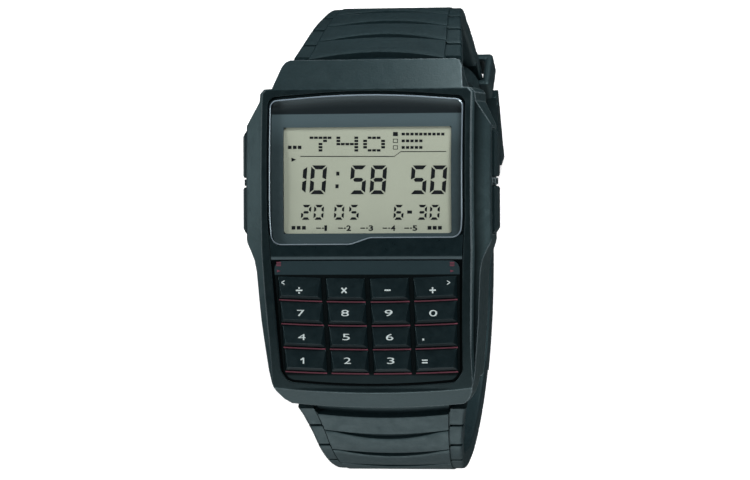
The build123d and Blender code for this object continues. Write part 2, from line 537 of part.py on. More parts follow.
keep_t = (-math.cos(KEEP_H), -math.sin(KEEP_H))          # towards the case along the strap
keep_n = (-math.sin(KEEP_H), math.cos(KEEP_H))           # left of the heading
keep_n = keep_n if keep_n[1] < 0 else (-keep_n[0], -keep_n[1])   # outwards, away from the wrist
k0 = at_s(SHORT, 38.65 + 4.45)[0]                         # keeper's centre on the outer face
print("keeper centre", k0, "normal", keep_n)

# the long half carries on along the bottom and up inside the short half
GAP = 0.35
z_flat = LONG[-1][2][1]
target = (k0[0] - (STRAP_T + GAP) * keep_n[0], k0[1] - (STRAP_T + GAP) * keep_n[1])
up = math.atan2(keep_t[1], keep_t[0])
print("target on tail", target, "heading", up / DEG, "z_flat", z_flat)
FIRST_TURN = 18 * DEG
R1 = 40.0
# flat, a slow turn, then a turn that is tangent to the line through target
slow = (R1 * math.sin(FIRST_TURN), R1 * (1 - math.cos(FIRST_TURN)))
a2 = up - FIRST_TURN


def tail_for(y_flat):
    p = (y_flat + slow[0], z_flat + slow[1])
    # p + R2*((sin up - sin F), (cos F - cos up)) lies on the line through target with direction up
    nx, nz = -math.sin(up), math.cos(up)
    k = (target[0] - p[0]) * nx + (target[1] - p[1]) * nz
    dx, dz = math.sin(up) - math.sin(FIRST_TURN), math.cos(FIRST_TURN) - math.cos(up)
    return k / (dx * nx + dz * nz), p


Y_FLAT_END = -2.95
R2, p2 = tail_for(Y_FLAT_END)
print("R2", R2)
LONG = chain(S6, H6 * DEG, BEND + [(Y_FLAT_END - LONG[-1][2][0], 0.0), (R1 * FIRST_TURN, 1 / R1), (R2 * a2, 1 / R2), (11.0, 0.0)])
print("tail straight starts", LONG[-1][0], "ends", LONG[-1][2])

# width of the band against height
WIDTH_12 = [(12.35, 6.0), (12.35, 3.6), (11.75, 0.0), (10.78, -5.0), (10.0, -9.0), (9.4, -14.0), (9.0, -20.0), (9.0, -60.0)]
WIDTH_6 = [(12.5, 6.0), (12.5, 0.9), (11.85, -0.8), (10.98, -4.0), (10.2, -8.0), (9.6, -12.0), (9.2, -17.0), (9.0, -22.0), (9.0, -60.0)]


def root(pivot, heading, x0, x1):
    """Rolled end of the strap about its spring bar."""
    return cyl_x(ROOT_R, x0, x1, *pivot)


def strap_half(segs, pivot, sgn, thick):
    """sgn +1: the wrist is to the right of the heading, -1: to the left."""
    full = extrude_ribbon(segs, 0, -sgn * thick, -13, 13) & xz(face(sym(WIDTH_12 if sgn > 0 else WIDTH_6)), -50, 50)
    # only the middle goes to the bar, the full width starts clear of the lugs
    h = segs[0][3]
    clear = 2.35
    p = pivot
    ux, uz = math.cos(h), math.sin(h)
    nx, nz = -math.sin(h), math.cos(h)
    quad = [(p[0] - 6 * ux + 6 * nx, p[1] - 6 * uz + 6 * nz), (p[0] + clear * ux + 6 * nx, p[1] + clear * uz + 6 * nz),
            (p[0] + clear * ux - 6 * nx, p[1] + clear * uz - 6 * nz), (p[0] - 6 * ux - 6 * nx, p[1] - 6 * uz - 6 * nz)]
    for s in (1, -1):
        full -= yz(face(quad), *sorted((s * 9.5, s * 14)))
    full += root(pivot, h, -9.5, 9.5)
    full -= cyl_x(BAR_R + 0.06, -14, 14, *pivot)
    return full


def extrude_ribbon(segs, d0, d1, x0, x1):
    return yz(ribbon(segs, d0, d1), x0, x1)


# short half: heading down on the +Y side, the wrist is to the right
short = strap_half(SHORT, PIVOT_12, 1, STRAP_T)
# long half: heading down on the -Y side, the wrist is to the left
main_len = 5
long_full = strap_half(LONG[:main_len + 1], PIVOT_6, -1, STRAP_T)
tail = extrude_ribbon(LONG[main_len + 1:], 0, TAIL_T, -9, 9)
long_half = long_full + tail
# rounded tip
tip_p, tip_h = LONG[-1][2], LONG[-1][4]
tip_plane = Plane(origin=(0, tip_p[0], tip_p[1]), x_dir=(1, 0, 0), z_dir=(0, -math.sin(tip_h), math.cos(tip_h)))
tip_cut = Pos(0, 0) * Rectangle(24, 16) - (Pos(0, -9) * (Rectangle(18, 18)) & Pos(0, -9.0) * Circle(9.0)) - Pos(0, -13) * Rectangle(18.1, 8.0)
long_half -= extrude(tip_plane.offset(-6) * (tip_cut & Pos(0, 0) * Rectangle(24, 16)), amount=12)

# adjusting holes, small ovals along the tail
s_total = sum(s[6] for s in LONG)
holes = []
for i in range(9):
    s = s_total - 9.5 - 6.0 * i
    p, h = at_s(LONG, s)
    pl = Plane(origin=(0, p[0], p[1]), x_dir=(1, 0, 0), z_dir=(0, -math.sin(h), math.cos(h)))
    long_half -= extrude(pl.offset(-4) * SlotOverall(2.9, 1.7), amount=8)
    holes.append(s)
long_half = one(long_half, "strap_long")

# short half's buckle end: rolled about the buckle pin, slotted for the prong
end_p, end_h = SHORT[-1][2], SHORT[-1][4]
pin = (end_p[0] - 1.3 * keep_n[0], end_p[1] - 1.3 * keep_n[1])
print("buckle pin", pin)
short += cyl_x(1.3, -9.0, 9.0, *pin)
pe = Plane(origin=(0, pin[0], pin[1]), x_dir=(1, 0, 0), z_dir=(0, keep_n[0], keep_n[1]))
# pe local y points along the strap away from the case
ydir = pe.y_dir
sy = 1 if (ydir.Y * math.cos(end_h) + ydir.Z * math.sin(end_h)) > 0 else -1
short -= extrude(pe.offset(-4) * (Pos(0, sy * 1.5) * Rectangle(3.2, 7.0)), amount=8)
short -= cyl_x(0.65, -14, 14, *pin)
# the inner bar of the keeper runs in a shallow recess on the wrist side
kc = Plane(origin=(0, k0[0], k0[1]), x_dir=(1, 0, 0), z_dir=(0, keep_n[0], keep_n[1]))
st = 1 if (kc.y_dir.Y * keep_t[0] + kc.y_dir.Z * keep_t[1]) > 0 else -1    # +: towards the case
short -= extrude(kc.offset(-STRAP_T - 1.0) * (Pos(0, st * 2.0) * Rectangle(24, 8.4)), amount=2.1)
short = one(short, "strap_short")

# shallow moulded grooves across both halves
def groove(segs, s, x_half, depth, outw, w=0.42):
    p, h = at_s(segs, s)
    nx, nz = (math.sin(h), -math.cos(h)) if outw < 0 else (-math.sin(h), math.cos(h))
    pl = Plane(origin=(0, p[0], p[1]), x_dir=(1, 0, 0), z_dir=(0, nx, nz))
    return extrude(pl.offset(-depth) * Rectangle(2 * x_half, w), amount=2.0)


for i in range(8):
    short -= groove(SHORT, 5.3 + 4.6 * i, 13, 0.45, 1)
for i in range(10):
    long_half -= groove(LONG, 5.3 + 4.6 * i, 13, 0.45, -1)
keep("strap_short", one(short, "strap_short"))
keep("strap_long", one(long_half, "strap_long"))

for name, (py, pz) in (("spring_bar_top", PIVOT_12), ("spring_bar_bottom", PIVOT_6)):
    bar = cyl_x(BAR_R, -9.45, 9.45, py, pz) + cyl_x(BAR_TIP_R, -11.3, 11.3, py, pz)
    keep(name, one(bar, name))

# ---------------------------------------------------------------- buckle and keeper
# local frame on the pin: x = X, y = along the frame away from the case, z = outwards
far = math.atan2(math.sin(end_h), math.cos(end_h))
FRAME_TILT = 25 * DEG      # the frame lies nearer the tail than the strap's own line
fh = end_h - FRAME_TILT
fdir = (math.cos(fh), math.sin(fh))
fn = (-fdir[1], fdir[0])
fn = fn if fn[1] < 0 else (-fn[0], -fn[1])
fp = Plane(origin=(0, pin[0], pin[1]), x_dir=(1, 0, 0), z_dir=(0, fn[0], fn[1]))
fy = 1 if (fp.y_dir.Y * fdir[0] + fp.y_dir.Z * fdir[1]) > 0 else -1
FRAME_L = 10.0


def FB(x0, x1, y0, y1, z0, z1):
    """A block in the buckle's own frame, y counted away from the case."""
    a, b = sorted((fy * y0, fy * y1))
    return extrude(fp.offset(z0) * (Pos((x0 + x1) / 2, (a + b) / 2) * Rectangle(x1 - x0, b - a)), amount=z1 - z0)


bf = FB(9.2, 10.75, -1.4, FRAME_L, -1.1, 1.5) + FB(-10.75, -9.2, -1.4, FRAME_L, -1.1, 1.5)
bf += FB(-10.75, 10.75, FRAME_L - 2.2, FRAME_L, -0.1, 1.7)
bf = bf - FB(-0.75, 0.75, FRAME_L - 2.4, FRAME_L + 0.2, 0.75, 2)
bf -= cyl_x(0.5, -14, 14, *pin)
keep("buckle_frame", one(bf, "buckle_frame"))
bp = cyl_x(0.6, -9.0, 9.0, *pin) + cyl_x(0.45, -10.5, 10.5, *pin)
keep("buckle_pin", one(bp, "buckle_pin"))
pr = cyl_x(1.25, -0.7, 0.7, *pin) + FB(-0.65, 0.65, 0.3, FRAME_L - 0.6, 0.85, 1.9) - cyl_x(0.66, -3, 3, *pin)
keep("buckle_prong", one(pr, "buckle_prong"))


def KB(x0, x1, y0, y1, z0, z1):
    """A block in the keeper's frame: y towards the case, z outwards from the strap's outer face."""
    a, b = sorted((st * y0, st * y1))
    return extrude(kc.offset(z0) * (Pos((x0 + x1) / 2, (a + b) / 2) * Rectangle(x1 - x0, b - a)), amount=z1 - z0)


kb = KB(-10.4, 10.4, -1.8, 1.8, -STRAP_T + 0.15, 3.4) - KB(-9.2, 9.2, -3, 3, -1.58, 2.45)
keep("keeper_loop", one(kb, "keeper_loop"))

# ---------------------------------------------------------------- write
for name, shape in PARTS.items():
    export_step(shape, f"parts/{name}.step")
lo = [min(tuple(s.bounding_box().min)[i] for s in PARTS.values()) for i in range(3)]
hi = [max(tuple(s.bounding_box().max)[i] for s in PARTS.values()) for i in range(3)]
print("nodes", len(PARTS), "box", [round(v, 2) for v in lo], [round(v, 2) for v in hi])
print("keeper axis", keep_t, "frame dir", fdir, "fn", fn)
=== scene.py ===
import bpy
import bmesh
import json
import math
from mathutils import Matrix, Vector


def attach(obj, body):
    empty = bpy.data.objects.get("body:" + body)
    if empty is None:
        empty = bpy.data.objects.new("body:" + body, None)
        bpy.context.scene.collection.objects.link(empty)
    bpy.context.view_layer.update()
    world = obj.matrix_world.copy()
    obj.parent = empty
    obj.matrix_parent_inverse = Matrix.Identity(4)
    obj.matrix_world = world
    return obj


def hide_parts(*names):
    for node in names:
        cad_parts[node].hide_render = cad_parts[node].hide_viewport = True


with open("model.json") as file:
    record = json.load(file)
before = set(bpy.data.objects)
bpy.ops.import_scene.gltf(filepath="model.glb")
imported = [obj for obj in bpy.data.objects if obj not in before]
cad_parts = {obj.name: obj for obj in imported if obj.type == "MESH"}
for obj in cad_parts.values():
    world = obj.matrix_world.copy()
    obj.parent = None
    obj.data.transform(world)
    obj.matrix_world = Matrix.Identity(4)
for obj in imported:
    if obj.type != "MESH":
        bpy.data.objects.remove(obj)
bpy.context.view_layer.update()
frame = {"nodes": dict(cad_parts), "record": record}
NODES = frame["nodes"]
MM = 0.001

# ------------------------------------------------------------------ camera
# The dial is seen from 11 degrees to its 3 o'clock side, with 12 o'clock up.
W, H = 750, 480
YAW = math.radians(11.3)
ROLL = math.radians(-0.25)
DIST, PX_PER_MM = 650.0, 7.12
AIM = Vector((1.26, -1.13, 11.0))
FOCAL_PX = PX_PER_MM * DIST
cam_data = bpy.data.cameras.new("camera")
cam = bpy.data.objects.new("camera", cam_data)
bpy.context.scene.collection.objects.link(cam)
bpy.context.scene.camera = cam
cam_data.sensor_fit = "HORIZONTAL"
cam_data.sensor_width = 36.0
cam_data.lens = FOCAL_PX * 36.0 / W
cam_data.clip_start, cam_data.clip_end = 0.02, 20.0
back = Vector((math.sin(YAW), 0.0, math.cos(YAW)))
right = Vector((math.cos(YAW), 0.0, -math.sin(YAW)))
up = Vector((0.0, 1.0, 0.0))
c, s = math.cos(ROLL), math.sin(ROLL)
right, up = right * c + up * s, up * c - right * s
EYE = AIM + back * DIST
cam.matrix_world = Matrix((
    (right.x, up.x, back.x, EYE.x * MM),
    (right.y, up.y, back.y, EYE.y * MM),
    (right.z, up.z, back.z, EYE.z * MM),
    (0, 0, 0, 1)))


def ray(px, py):
    """Direction from the eye through a point of the 750 x 480 picture."""
    return (right * ((px - W / 2) / FOCAL_PX) + up * ((H / 2 - py) / FOCAL_PX) - back).normalized()


def hit(px, py, origin, normal):
    """Where that ray meets a plane, in mm."""
    d = ray(px, py)
    o, n = Vector(origin), Vector(normal)
    t = (o - EYE).dot(n) / d.dot(n)
    return EYE + d * t


# ------------------------------------------------------------------ the object's own lines, in mm
ARC_R, ARC_Y, TOP_Z = 87.0, 6.0, 11.7
T = math.radians(12.4)
KEY_O = Vector((0.0, -3.75, 11.0))
KEY_N = Vector((0.0, -math.sin(T), math.cos(T)))
KEY_V = Vector((0.0, math.cos(T), math.sin(T)))
RED = [-2.62, -6.2, -9.66, -13.1, -16.62]
BOW_R = 230.0
COLS = [(-12.8, -6.62), (-5.95, -0.36), (0.36, 5.95), (6.62, 12.8)]
KEYS = [["key_divide", "key_multiply", "key_minus", "key_plus"], ["key_7", "key_8", "key_9", "key_0"],
        ["key_4", "key_5", "key_6", "key_dot"], ["key_1", "key_2", "key_3", "key_equals"]]
LCD_Z = 9.72
KEY_LOW, KEY_HIGH = 0.22, 0.82


def arc_z(y, d=0.0):
    return TOP_Z - ARC_R + math.sqrt((ARC_R + d) ** 2 - (y - ARC_Y) ** 2)


def kp(u, v, w=0.0):
    """A point on the key pad: u across, v up the pad, w out of it."""
    return KEY_O + Vector((u, 0, 0)) + KEY_V * v + KEY_N * w


def bow(x):
    return x * x / (2 * BOW_R)


# ------------------------------------------------------------------ materials
def new_mat(name):
    m = bpy.data.materials.new(name)
    m.use_nodes = True
    nt = m.node_tree
    nt.nodes.clear()
    out = nt.nodes.new("ShaderNodeOutputMaterial")
    b = nt.nodes.new("ShaderNodeBsdfPrincipled")
    nt.links.new(b.outputs[0], out.inputs[0])
    return m, nt, b, out


def node(nt, kind, **kw):
    n = nt.nodes.new(kind)
    for k, v in kw.items():
        setattr(n, k, v)
    return n


def noise(nt, coord, scale, detail=3.0, rough=0.5):
    n = node(nt, "ShaderNodeTexNoise")
    n.inputs["Scale"].default_value = scale
    n.inputs["Detail"].default_value = detail
    n.inputs["Roughness"].default_value = rough
    nt.links.new(coord, n.inputs["Vector"])
    return n.outputs[0]


def remap(nt, value, a, b, c, d):
    n = node(nt, "ShaderNodeMapRange")
    for k, v in zip(("From Min", "From Max", "To Min", "To Max"), (a, b, c, d)):
        n.inputs[k].default_value = v
    nt.links.new(value, n.inputs["Value"])
    return n.outputs[0]


def mix_col(nt, fac, a, b):
    n = node(nt, "ShaderNodeMix", data_type="RGBA")
    if isinstance(fac, float):
        n.inputs[0].default_value = fac
    else:
        nt.links.new(fac, n.inputs[0])
    for i, v in ((6, a), (7, b)):
        if isinstance(v, tuple):
            n.inputs[i].default_value = (*v, 1)
        else:
            nt.links.new(v, n.inputs[i])
    return n.outputs[2]


def bump(nt, b, height, strength, dist_mm, edge_mm=0.0):
    n = node(nt, "ShaderNodeBump")
    n.inputs["Strength"].default_value = strength
    n.inputs["Distance"].default_value = dist_mm * MM
    nt.links.new(height, n.inputs["Height"])
    if edge_mm:
        e = node(nt, "ShaderNodeBevel", samples=4)
        e.inputs["Radius"].default_value = edge_mm * MM
        nt.links.new(e.outputs[0], n.inputs["Normal"])
    nt.links.new(n.outputs[0], b.inputs["Normal"])


def resin(name, base, rough=0.5, spec=0.4, grain=0.35, grain_mm=0.16, vary=0.16, edge_mm=0.0):
    """Moulded resin with a fine matte grain, faint mottling and uneven gloss."""
    m, nt, b, out = new_mat(name)
    co = node(nt, "ShaderNodeTexCoord").outputs["Object"]
    big = noise(nt, co, 140.0, 3.0, 0.55)
    fine = noise(nt, co, 1000.0 / grain_mm * 0.55, 2.0, 0.6)
    mid = noise(nt, co, 1000.0 / grain_mm * 0.16, 3.0, 0.55)
    f = remap(nt, big, 0.3, 0.7, 0.0, 1.0)
    lo = tuple(v * (1 - vary) for v in base)
    hi = tuple(v * (1 + vary) for v in base)
    body = mix_col(nt, f, lo, hi)
    speck = remap(nt, fine, 0.35, 0.7, 0.0, 1.0)
    col = mix_col(nt, speck, body, mix_col(nt, 0.5, body, tuple(min(1, v * 1.8) for v in base)))
    nt.links.new(col, b.inputs["Base Color"])
    nt.links.new(remap(nt, mid, 0.3, 0.7, rough - 0.05, rough + 0.07), b.inputs["Roughness"])
    b.inputs["Specular IOR Level"].default_value = spec
    if base[2] > base[0] * 1.3:
        b.inputs["Specular Tint"].default_value = (0.64, 0.95, 1.0, 1)
    add = node(nt, "ShaderNodeMath", operation="MULTIPLY_ADD")
    nt.links.new(mid, add.inputs[0])
    add.inputs[1].default_value = 0.6
    nt.links.new(fine, add.inputs[2])
    bump(nt, b, add.outputs[0], grain, 0.03, edge_mm)
    return m


def metal(name, base, rough=0.3, axis=0, metallic=1.0, streak=0.25):
    """Brushed metal with fine lines along one axis."""
    m, nt, b, out = new_mat(name)
    co = node(nt, "ShaderNodeTexCoord").outputs["Object"]
    mp = node(nt, "ShaderNodeMapping")
    sc = [9000.0, 9000.0, 9000.0]
    sc[axis] = 260.0
    mp.inputs["Scale"].default_value = sc
    nt.links.new(co, mp.inputs["Vector"])
    lines = noise(nt, mp.outputs[0], 1.0, 2.0, 0.6)
    soft = noise(nt, co, 220.0, 3.0, 0.5)
    f = remap(nt, lines, 0.25, 0.75, 0.0, 1.0)
    col = mix_col(nt, f, tuple(v * (1 - streak * 0.5) for v in base), tuple(min(1, v * (1 + streak * 0.3)) for v in base))
    nt.links.new(col, b.inputs["Base Color"])
    b.inputs["Metallic"].default_value = metallic
    nt.links.new(remap(nt, soft, 0.3, 0.7, rough - 0.05, rough + 0.08), b.inputs["Roughness"])
    bump(nt, b, lines, 0.12, 0.01)
    return m


def printed(name, base, rough=0.45, spec=0.4):
    """Ink or a printed film: nearly even, with a slight mottle."""
    m, nt, b, out = new_mat(name)
    co = node(nt, "ShaderNodeTexCoord").outputs["Object"]
    n = noise(nt, co, 1800.0, 2.0, 0.5)
    col = mix_col(nt, remap(nt, n, 0.3, 0.7, 0.0, 1.0), tuple(v * 0.92 for v in base), tuple(min(1, v * 1.06) for v in base))
    nt.links.new(col, b.inputs["Base Color"])
    nt.links.new(remap(nt, n, 0.3, 0.7, rough - 0.04, rough + 0.04), b.inputs["Roughness"])
    b.inputs["Specular IOR Level"].default_value = spec
    return m


DARK = (0.0070, 0.0145, 0.0170)
M = {
    "case_resin": resin("case_resin", DARK, 0.36, 0.58, 0.5, 0.2, edge_mm=0.30),
    "strap_resin": resin("strap_resin", (0.0070, 0.0145, 0.0170), 0.42, 0.32, 0.4, 0.2),
    "button_resin": resin("button_resin", (0.0050, 0.0105, 0.0125), 0.32, 0.42, 0.3, 0.2, edge_mm=0.10),
    "key_resin": resin("key_resin", (0.0036, 0.0078, 0.0095), 0.34, 0.38, 0.2, 0.16, edge_mm=0.07),
    "buckle_resin": resin("buckle_resin", (0.0065, 0.0135, 0.0160), 0.38, 0.38, 0.3, 0.2, edge_mm=0.15),
    "silicone": resin("silicone", (0.18, 0.18, 0.18), 0.6, 0.3, 0.2, 0.3),
    "module_resin": resin("module_resin", (0.2, 0.2, 0.19), 0.5, 0.4, 0.2, 0.3),
    "chip": resin("chip", (0.015, 0.015, 0.015), 0.5, 0.4, 0.3, 0.1),
    "steel": metal("steel", (0.56, 0.56, 0.55), 0.3, 0),
    "brass": metal("brass", (0.72, 0.55, 0.28), 0.32, 1),
    "board": resin("board", (0.02, 0.12, 0.05), 0.4, 0.5, 0.15, 0.4),
    "flex_film": printed("flex_film", (0.45, 0.25, 0.06), 0.35),
}


def panel_material():
    """The front panel, satin; with a painted highlight on the ledge above the key pad, and painted shade, near black
    and matte, on the key pad's own floor where it shows in the gaps.
    """
    m = resin("panel_resin", (0.0036, 0.0082, 0.0100), 0.32, 0.36, 0.2, 0.16, edge_mm=0.12)
    nt = m.node_tree
    b = [n for n in nt.nodes if n.type == "BSDF_PRINCIPLED"][0]
    co = [n for n in nt.nodes if n.type == "TEX_COORD"][0].outputs["Object"]
    dot = node(nt, "ShaderNodeVectorMath", operation="DOT_PRODUCT")
    nt.links.new(co, dot.inputs[0])
    dot.inputs[1].default_value = KEY_N
    off = node(nt, "ShaderNodeMath", operation="SUBTRACT")
    nt.links.new(dot.outputs["Value"], off.inputs[0])
    off.inputs[1].default_value = KEY_O.dot(KEY_N) * MM
    far = node(nt, "ShaderNodeMath", operation="ABSOLUTE")
    nt.links.new(off.outputs[0], far.inputs[0])
    on_floor = remap(nt, far.outputs[0], 0.03 * MM, 0.10 * MM, 1.0, 0.0)
    down = node(nt, "ShaderNodeVectorMath", operation="DOT_PRODUCT")
    nt.links.new(co, down.inputs[0])
    down.inputs[1].default_value = KEY_V
    v0 = KEY_O.dot(KEY_V)
    below = remap(nt, down.outputs["Value"], (v0 - 0.16) * MM, (v0 - 0.08) * MM, 1.0, 0.0)
    both = node(nt, "ShaderNodeMath", operation="MULTIPLY")
    nt.links.new(on_floor, both.inputs[0])
    nt.links.new(below, both.inputs[1])
    col = b.inputs["Base Color"].links[0].from_socket
    # painted highlight: a lighter band along the ledge just above the key pad
    ledge_highlight = remap(nt, down.outputs["Value"], (v0 + 0.45) * MM, (v0 + 0.05) * MM, 0.0, 1.0)
    lit = node(nt, "ShaderNodeMath", operation="SUBTRACT", use_clamp=True)
    nt.links.new(ledge_highlight, lit.inputs[0])
    nt.links.new(below, lit.inputs[1])
    col = mix_col(nt, lit.outputs[0], col, (0.050, 0.068, 0.077))
    # painted shade: the key pad's floor, seen in the gaps round the plate and keys, goes near black with little gloss
    nt.links.new(mix_col(nt, both.outputs[0], col, (0.0012, 0.0020, 0.0024)), b.inputs["Base Color"])
    nt.links.new(remap(nt, both.outputs[0], 0.0, 1.0, 0.36, 0.04), b.inputs["Specular IOR Level"])
    return m




def paint_top_shade(m, share, spec):
    """Painted shade on flat upward faces: a blacker colour and a lower gloss than on the sloping ones."""
    nt = m.node_tree
    b = [n for n in nt.nodes if n.type == "BSDF_PRINCIPLED"][0]
    g = node(nt, "ShaderNodeNewGeometry")
    sep = node(nt, "ShaderNodeSeparateXYZ")
    nt.links.new(g.outputs["True Normal"], sep.inputs[0])
    f = remap(nt, sep.outputs[2], 0.90, 0.95, 0.0, 1.0)
    col = b.inputs["Base Color"].links[0].from_socket
    base = b.inputs["Specular IOR Level"].default_value
    dark = mix_col(nt, share, (0.0, 0.0, 0.0), col)
    nt.links.new(mix_col(nt, f, col, dark), b.inputs["Base Color"])
    nt.links.new(remap(nt, f, 0.0, 1.0, base, spec), b.inputs["Specular IOR Level"])


def paint_flank_shade(m, share, start, end):
    """Painted shade on the sloping right flank: dark beside the rim and lightening outwards, with the gloss lowered
    the same way.
    """
    nt = m.node_tree
    b = [n for n in nt.nodes if n.type == "BSDF_PRINCIPLED"][0]
    co = node(nt, "ShaderNodeTexCoord").outputs["Object"]
    sep = node(nt, "ShaderNodeSeparateXYZ")
    nt.links.new(co, sep.inputs[0])
    g = node(nt, "ShaderNodeNewGeometry")
    up = node(nt, "ShaderNodeSeparateXYZ")
    nt.links.new(g.outputs["True Normal"], up.inputs[0])
    # the rim draws in towards the lower end
    a = node(nt, "ShaderNodeMath", operation="ADD")
    nt.links.new(sep.outputs[0], a.inputs[0])
    nt.links.new(remap(nt, sep.outputs[1], -3.0 * MM, -16.0 * MM, 0.0, 0.585 * MM), a.inputs[1])
    f = remap(nt, a.outputs[0], (start - 0.17) * MM, start * MM, 0.0, 1.0)
    for other in (remap(nt, a.outputs[0], start * MM, end * MM, 1.0, 0.0), remap(nt, up.outputs[2], 0.6, 0.8, 0.0, 1.0)):
        mul = node(nt, "ShaderNodeMath", operation="MULTIPLY")
        nt.links.new(f, mul.inputs[0])
        nt.links.new(other, mul.inputs[1])
        f = mul.outputs[0]
    col = b.inputs["Base Color"].links[0].from_socket
    nt.links.new(mix_col(nt, f, col, mix_col(nt, share, (0.0, 0.0, 0.0), col)), b.inputs["Base Color"])
    gloss = node(nt, "ShaderNodeMath", operation="MULTIPLY")
    nt.links.new(b.inputs["Specular IOR Level"].links[0].from_socket, gloss.inputs[0])
    nt.links.new(remap(nt, f, 0.0, 1.0, 1.0, share), gloss.inputs[1])
    nt.links.new(gloss.outputs[0], b.inputs["Specular IOR Level"])


def painted_edge_highlight(m, radius_mm, tone, right_highlight_tone):
    """Painted highlight on the outer edges of a moulded shell: a lighter colour there, lighter still towards the right
    side.
    """
    nt = m.node_tree
    b = [n for n in nt.nodes if n.type == "BSDF_PRINCIPLED"][0]
    g = node(nt, "ShaderNodeNewGeometry")
    e = node(nt, "ShaderNodeBevel", samples=6)
    e.inputs["Radius"].default_value = radius_mm * MM
    dot = node(nt, "ShaderNodeVectorMath", operation="DOT_PRODUCT")
    nt.links.new(e.outputs[0], dot.inputs[0])
    nt.links.new(g.outputs["Normal"], dot.inputs[1])
    f = remap(nt, dot.outputs["Value"], 0.992, 0.93, 0.0, 1.0)
    # only edges that face away from the dial's middle
    co = node(nt, "ShaderNodeTexCoord").outputs["Object"]
    outward = node(nt, "ShaderNodeVectorMath", operation="DOT_PRODUCT")
    flat = node(nt, "ShaderNodeVectorMath", operation="MULTIPLY")
    nt.links.new(co, flat.inputs[0])
    flat.inputs[1].default_value = (1000.0, 1000.0, 0.0)
    nt.links.new(flat.outputs[0], outward.inputs[0])
    nt.links.new(e.outputs[0], outward.inputs[1])
    side = remap(nt, outward.outputs["Value"], 1.0, 3.0, 0.0, 1.0)
    both = node(nt, "ShaderNodeMath", operation="MULTIPLY")
    nt.links.new(f, both.inputs[0])
    nt.links.new(side, both.inputs[1])
    col = b.inputs["Base Color"].links[0].from_socket
    sep = node(nt, "ShaderNodeSeparateXYZ")
    nt.links.new(co, sep.inputs[0])
    # painted highlight colour, brighter towards the right (+x) side
    toned = mix_col(nt, remap(nt, sep.outputs[0], 2.0 * MM, 8.0 * MM, 0.0, 1.0), tone, right_highlight_tone)
    nt.links.new(mix_col(nt, both.outputs[0], col, toned), b.inputs["Base Color"])


# painted shade on the case's flat upward faces round the crystal
paint_top_shade(M["case_resin"], 0.50, 0.30)
# painted shade on the right flank beside the rim
paint_flank_shade(M["case_resin"], 0.18, 15.45, 16.9)
# painted highlight along the case's outer edges
painted_edge_highlight(M["case_resin"], 0.26, (0.088, 0.114, 0.124), (0.175, 0.222, 0.240))
M["panel_resin"] = panel_material()


def plate_material():
    """The key pad's plate, with its lighter label strip across the top, and painted shade making it near black and
    less glossy among the keys.
    """
    m, nt, b, out = new_mat("plate_resin")
    co = node(nt, "ShaderNodeTexCoord").outputs["Object"]
    sep = node(nt, "ShaderNodeSeparateXYZ")
    nt.links.new(co, sep.inputs[0])
    edge = KEY_O.y + KEY_V.y * -2.28
    f = remap(nt, sep.outputs[1], (edge - 0.05) * MM, (edge + 0.05) * MM, 0.0, 1.0)
    field = KEY_O.y + KEY_V.y * (RED[4] - 0.25)
    g = remap(nt, sep.outputs[1], (field - 0.15) * MM, (field + 0.15) * MM, 0.0, 1.0)
    n = noise(nt, co, 2600.0, 2.0, 0.55)
    big = noise(nt, co, 160.0, 3.0, 0.5)
    dark = mix_col(nt, remap(nt, big, 0.3, 0.7, 0.0, 1.0), (0.0046, 0.0088, 0.0102), (0.0058, 0.0108, 0.0124))
    # painted shade: among the keys the plate goes near black, lighter only on its bottom margin
    dark = mix_col(nt, g, dark, (0.0010, 0.0018, 0.0021))
    light = mix_col(nt, remap(nt, big, 0.3, 0.7, 0.0, 1.0), (0.0110, 0.0215, 0.0260), (0.0130, 0.0245, 0.0295))
    nt.links.new(mix_col(nt, f, dark, light), b.inputs["Base Color"])
    nt.links.new(remap(nt, n, 0.3, 0.7, 0.4, 0.5), b.inputs["Roughness"])
    between = node(nt, "ShaderNodeMath", operation="SUBTRACT", use_clamp=True)
    nt.links.new(g, between.inputs[0])
    nt.links.new(f, between.inputs[1])
    nt.links.new(remap(nt, between.outputs[0], 0.0, 1.0, 0.35, 0.10), b.inputs["Specular IOR Level"])
    b.inputs["Specular Tint"].default_value = (0.64, 0.95, 1.0, 1)
    bump(nt, b, n, 0.2, 0.015)
    return m


M["plate_resin"] = plate_material()


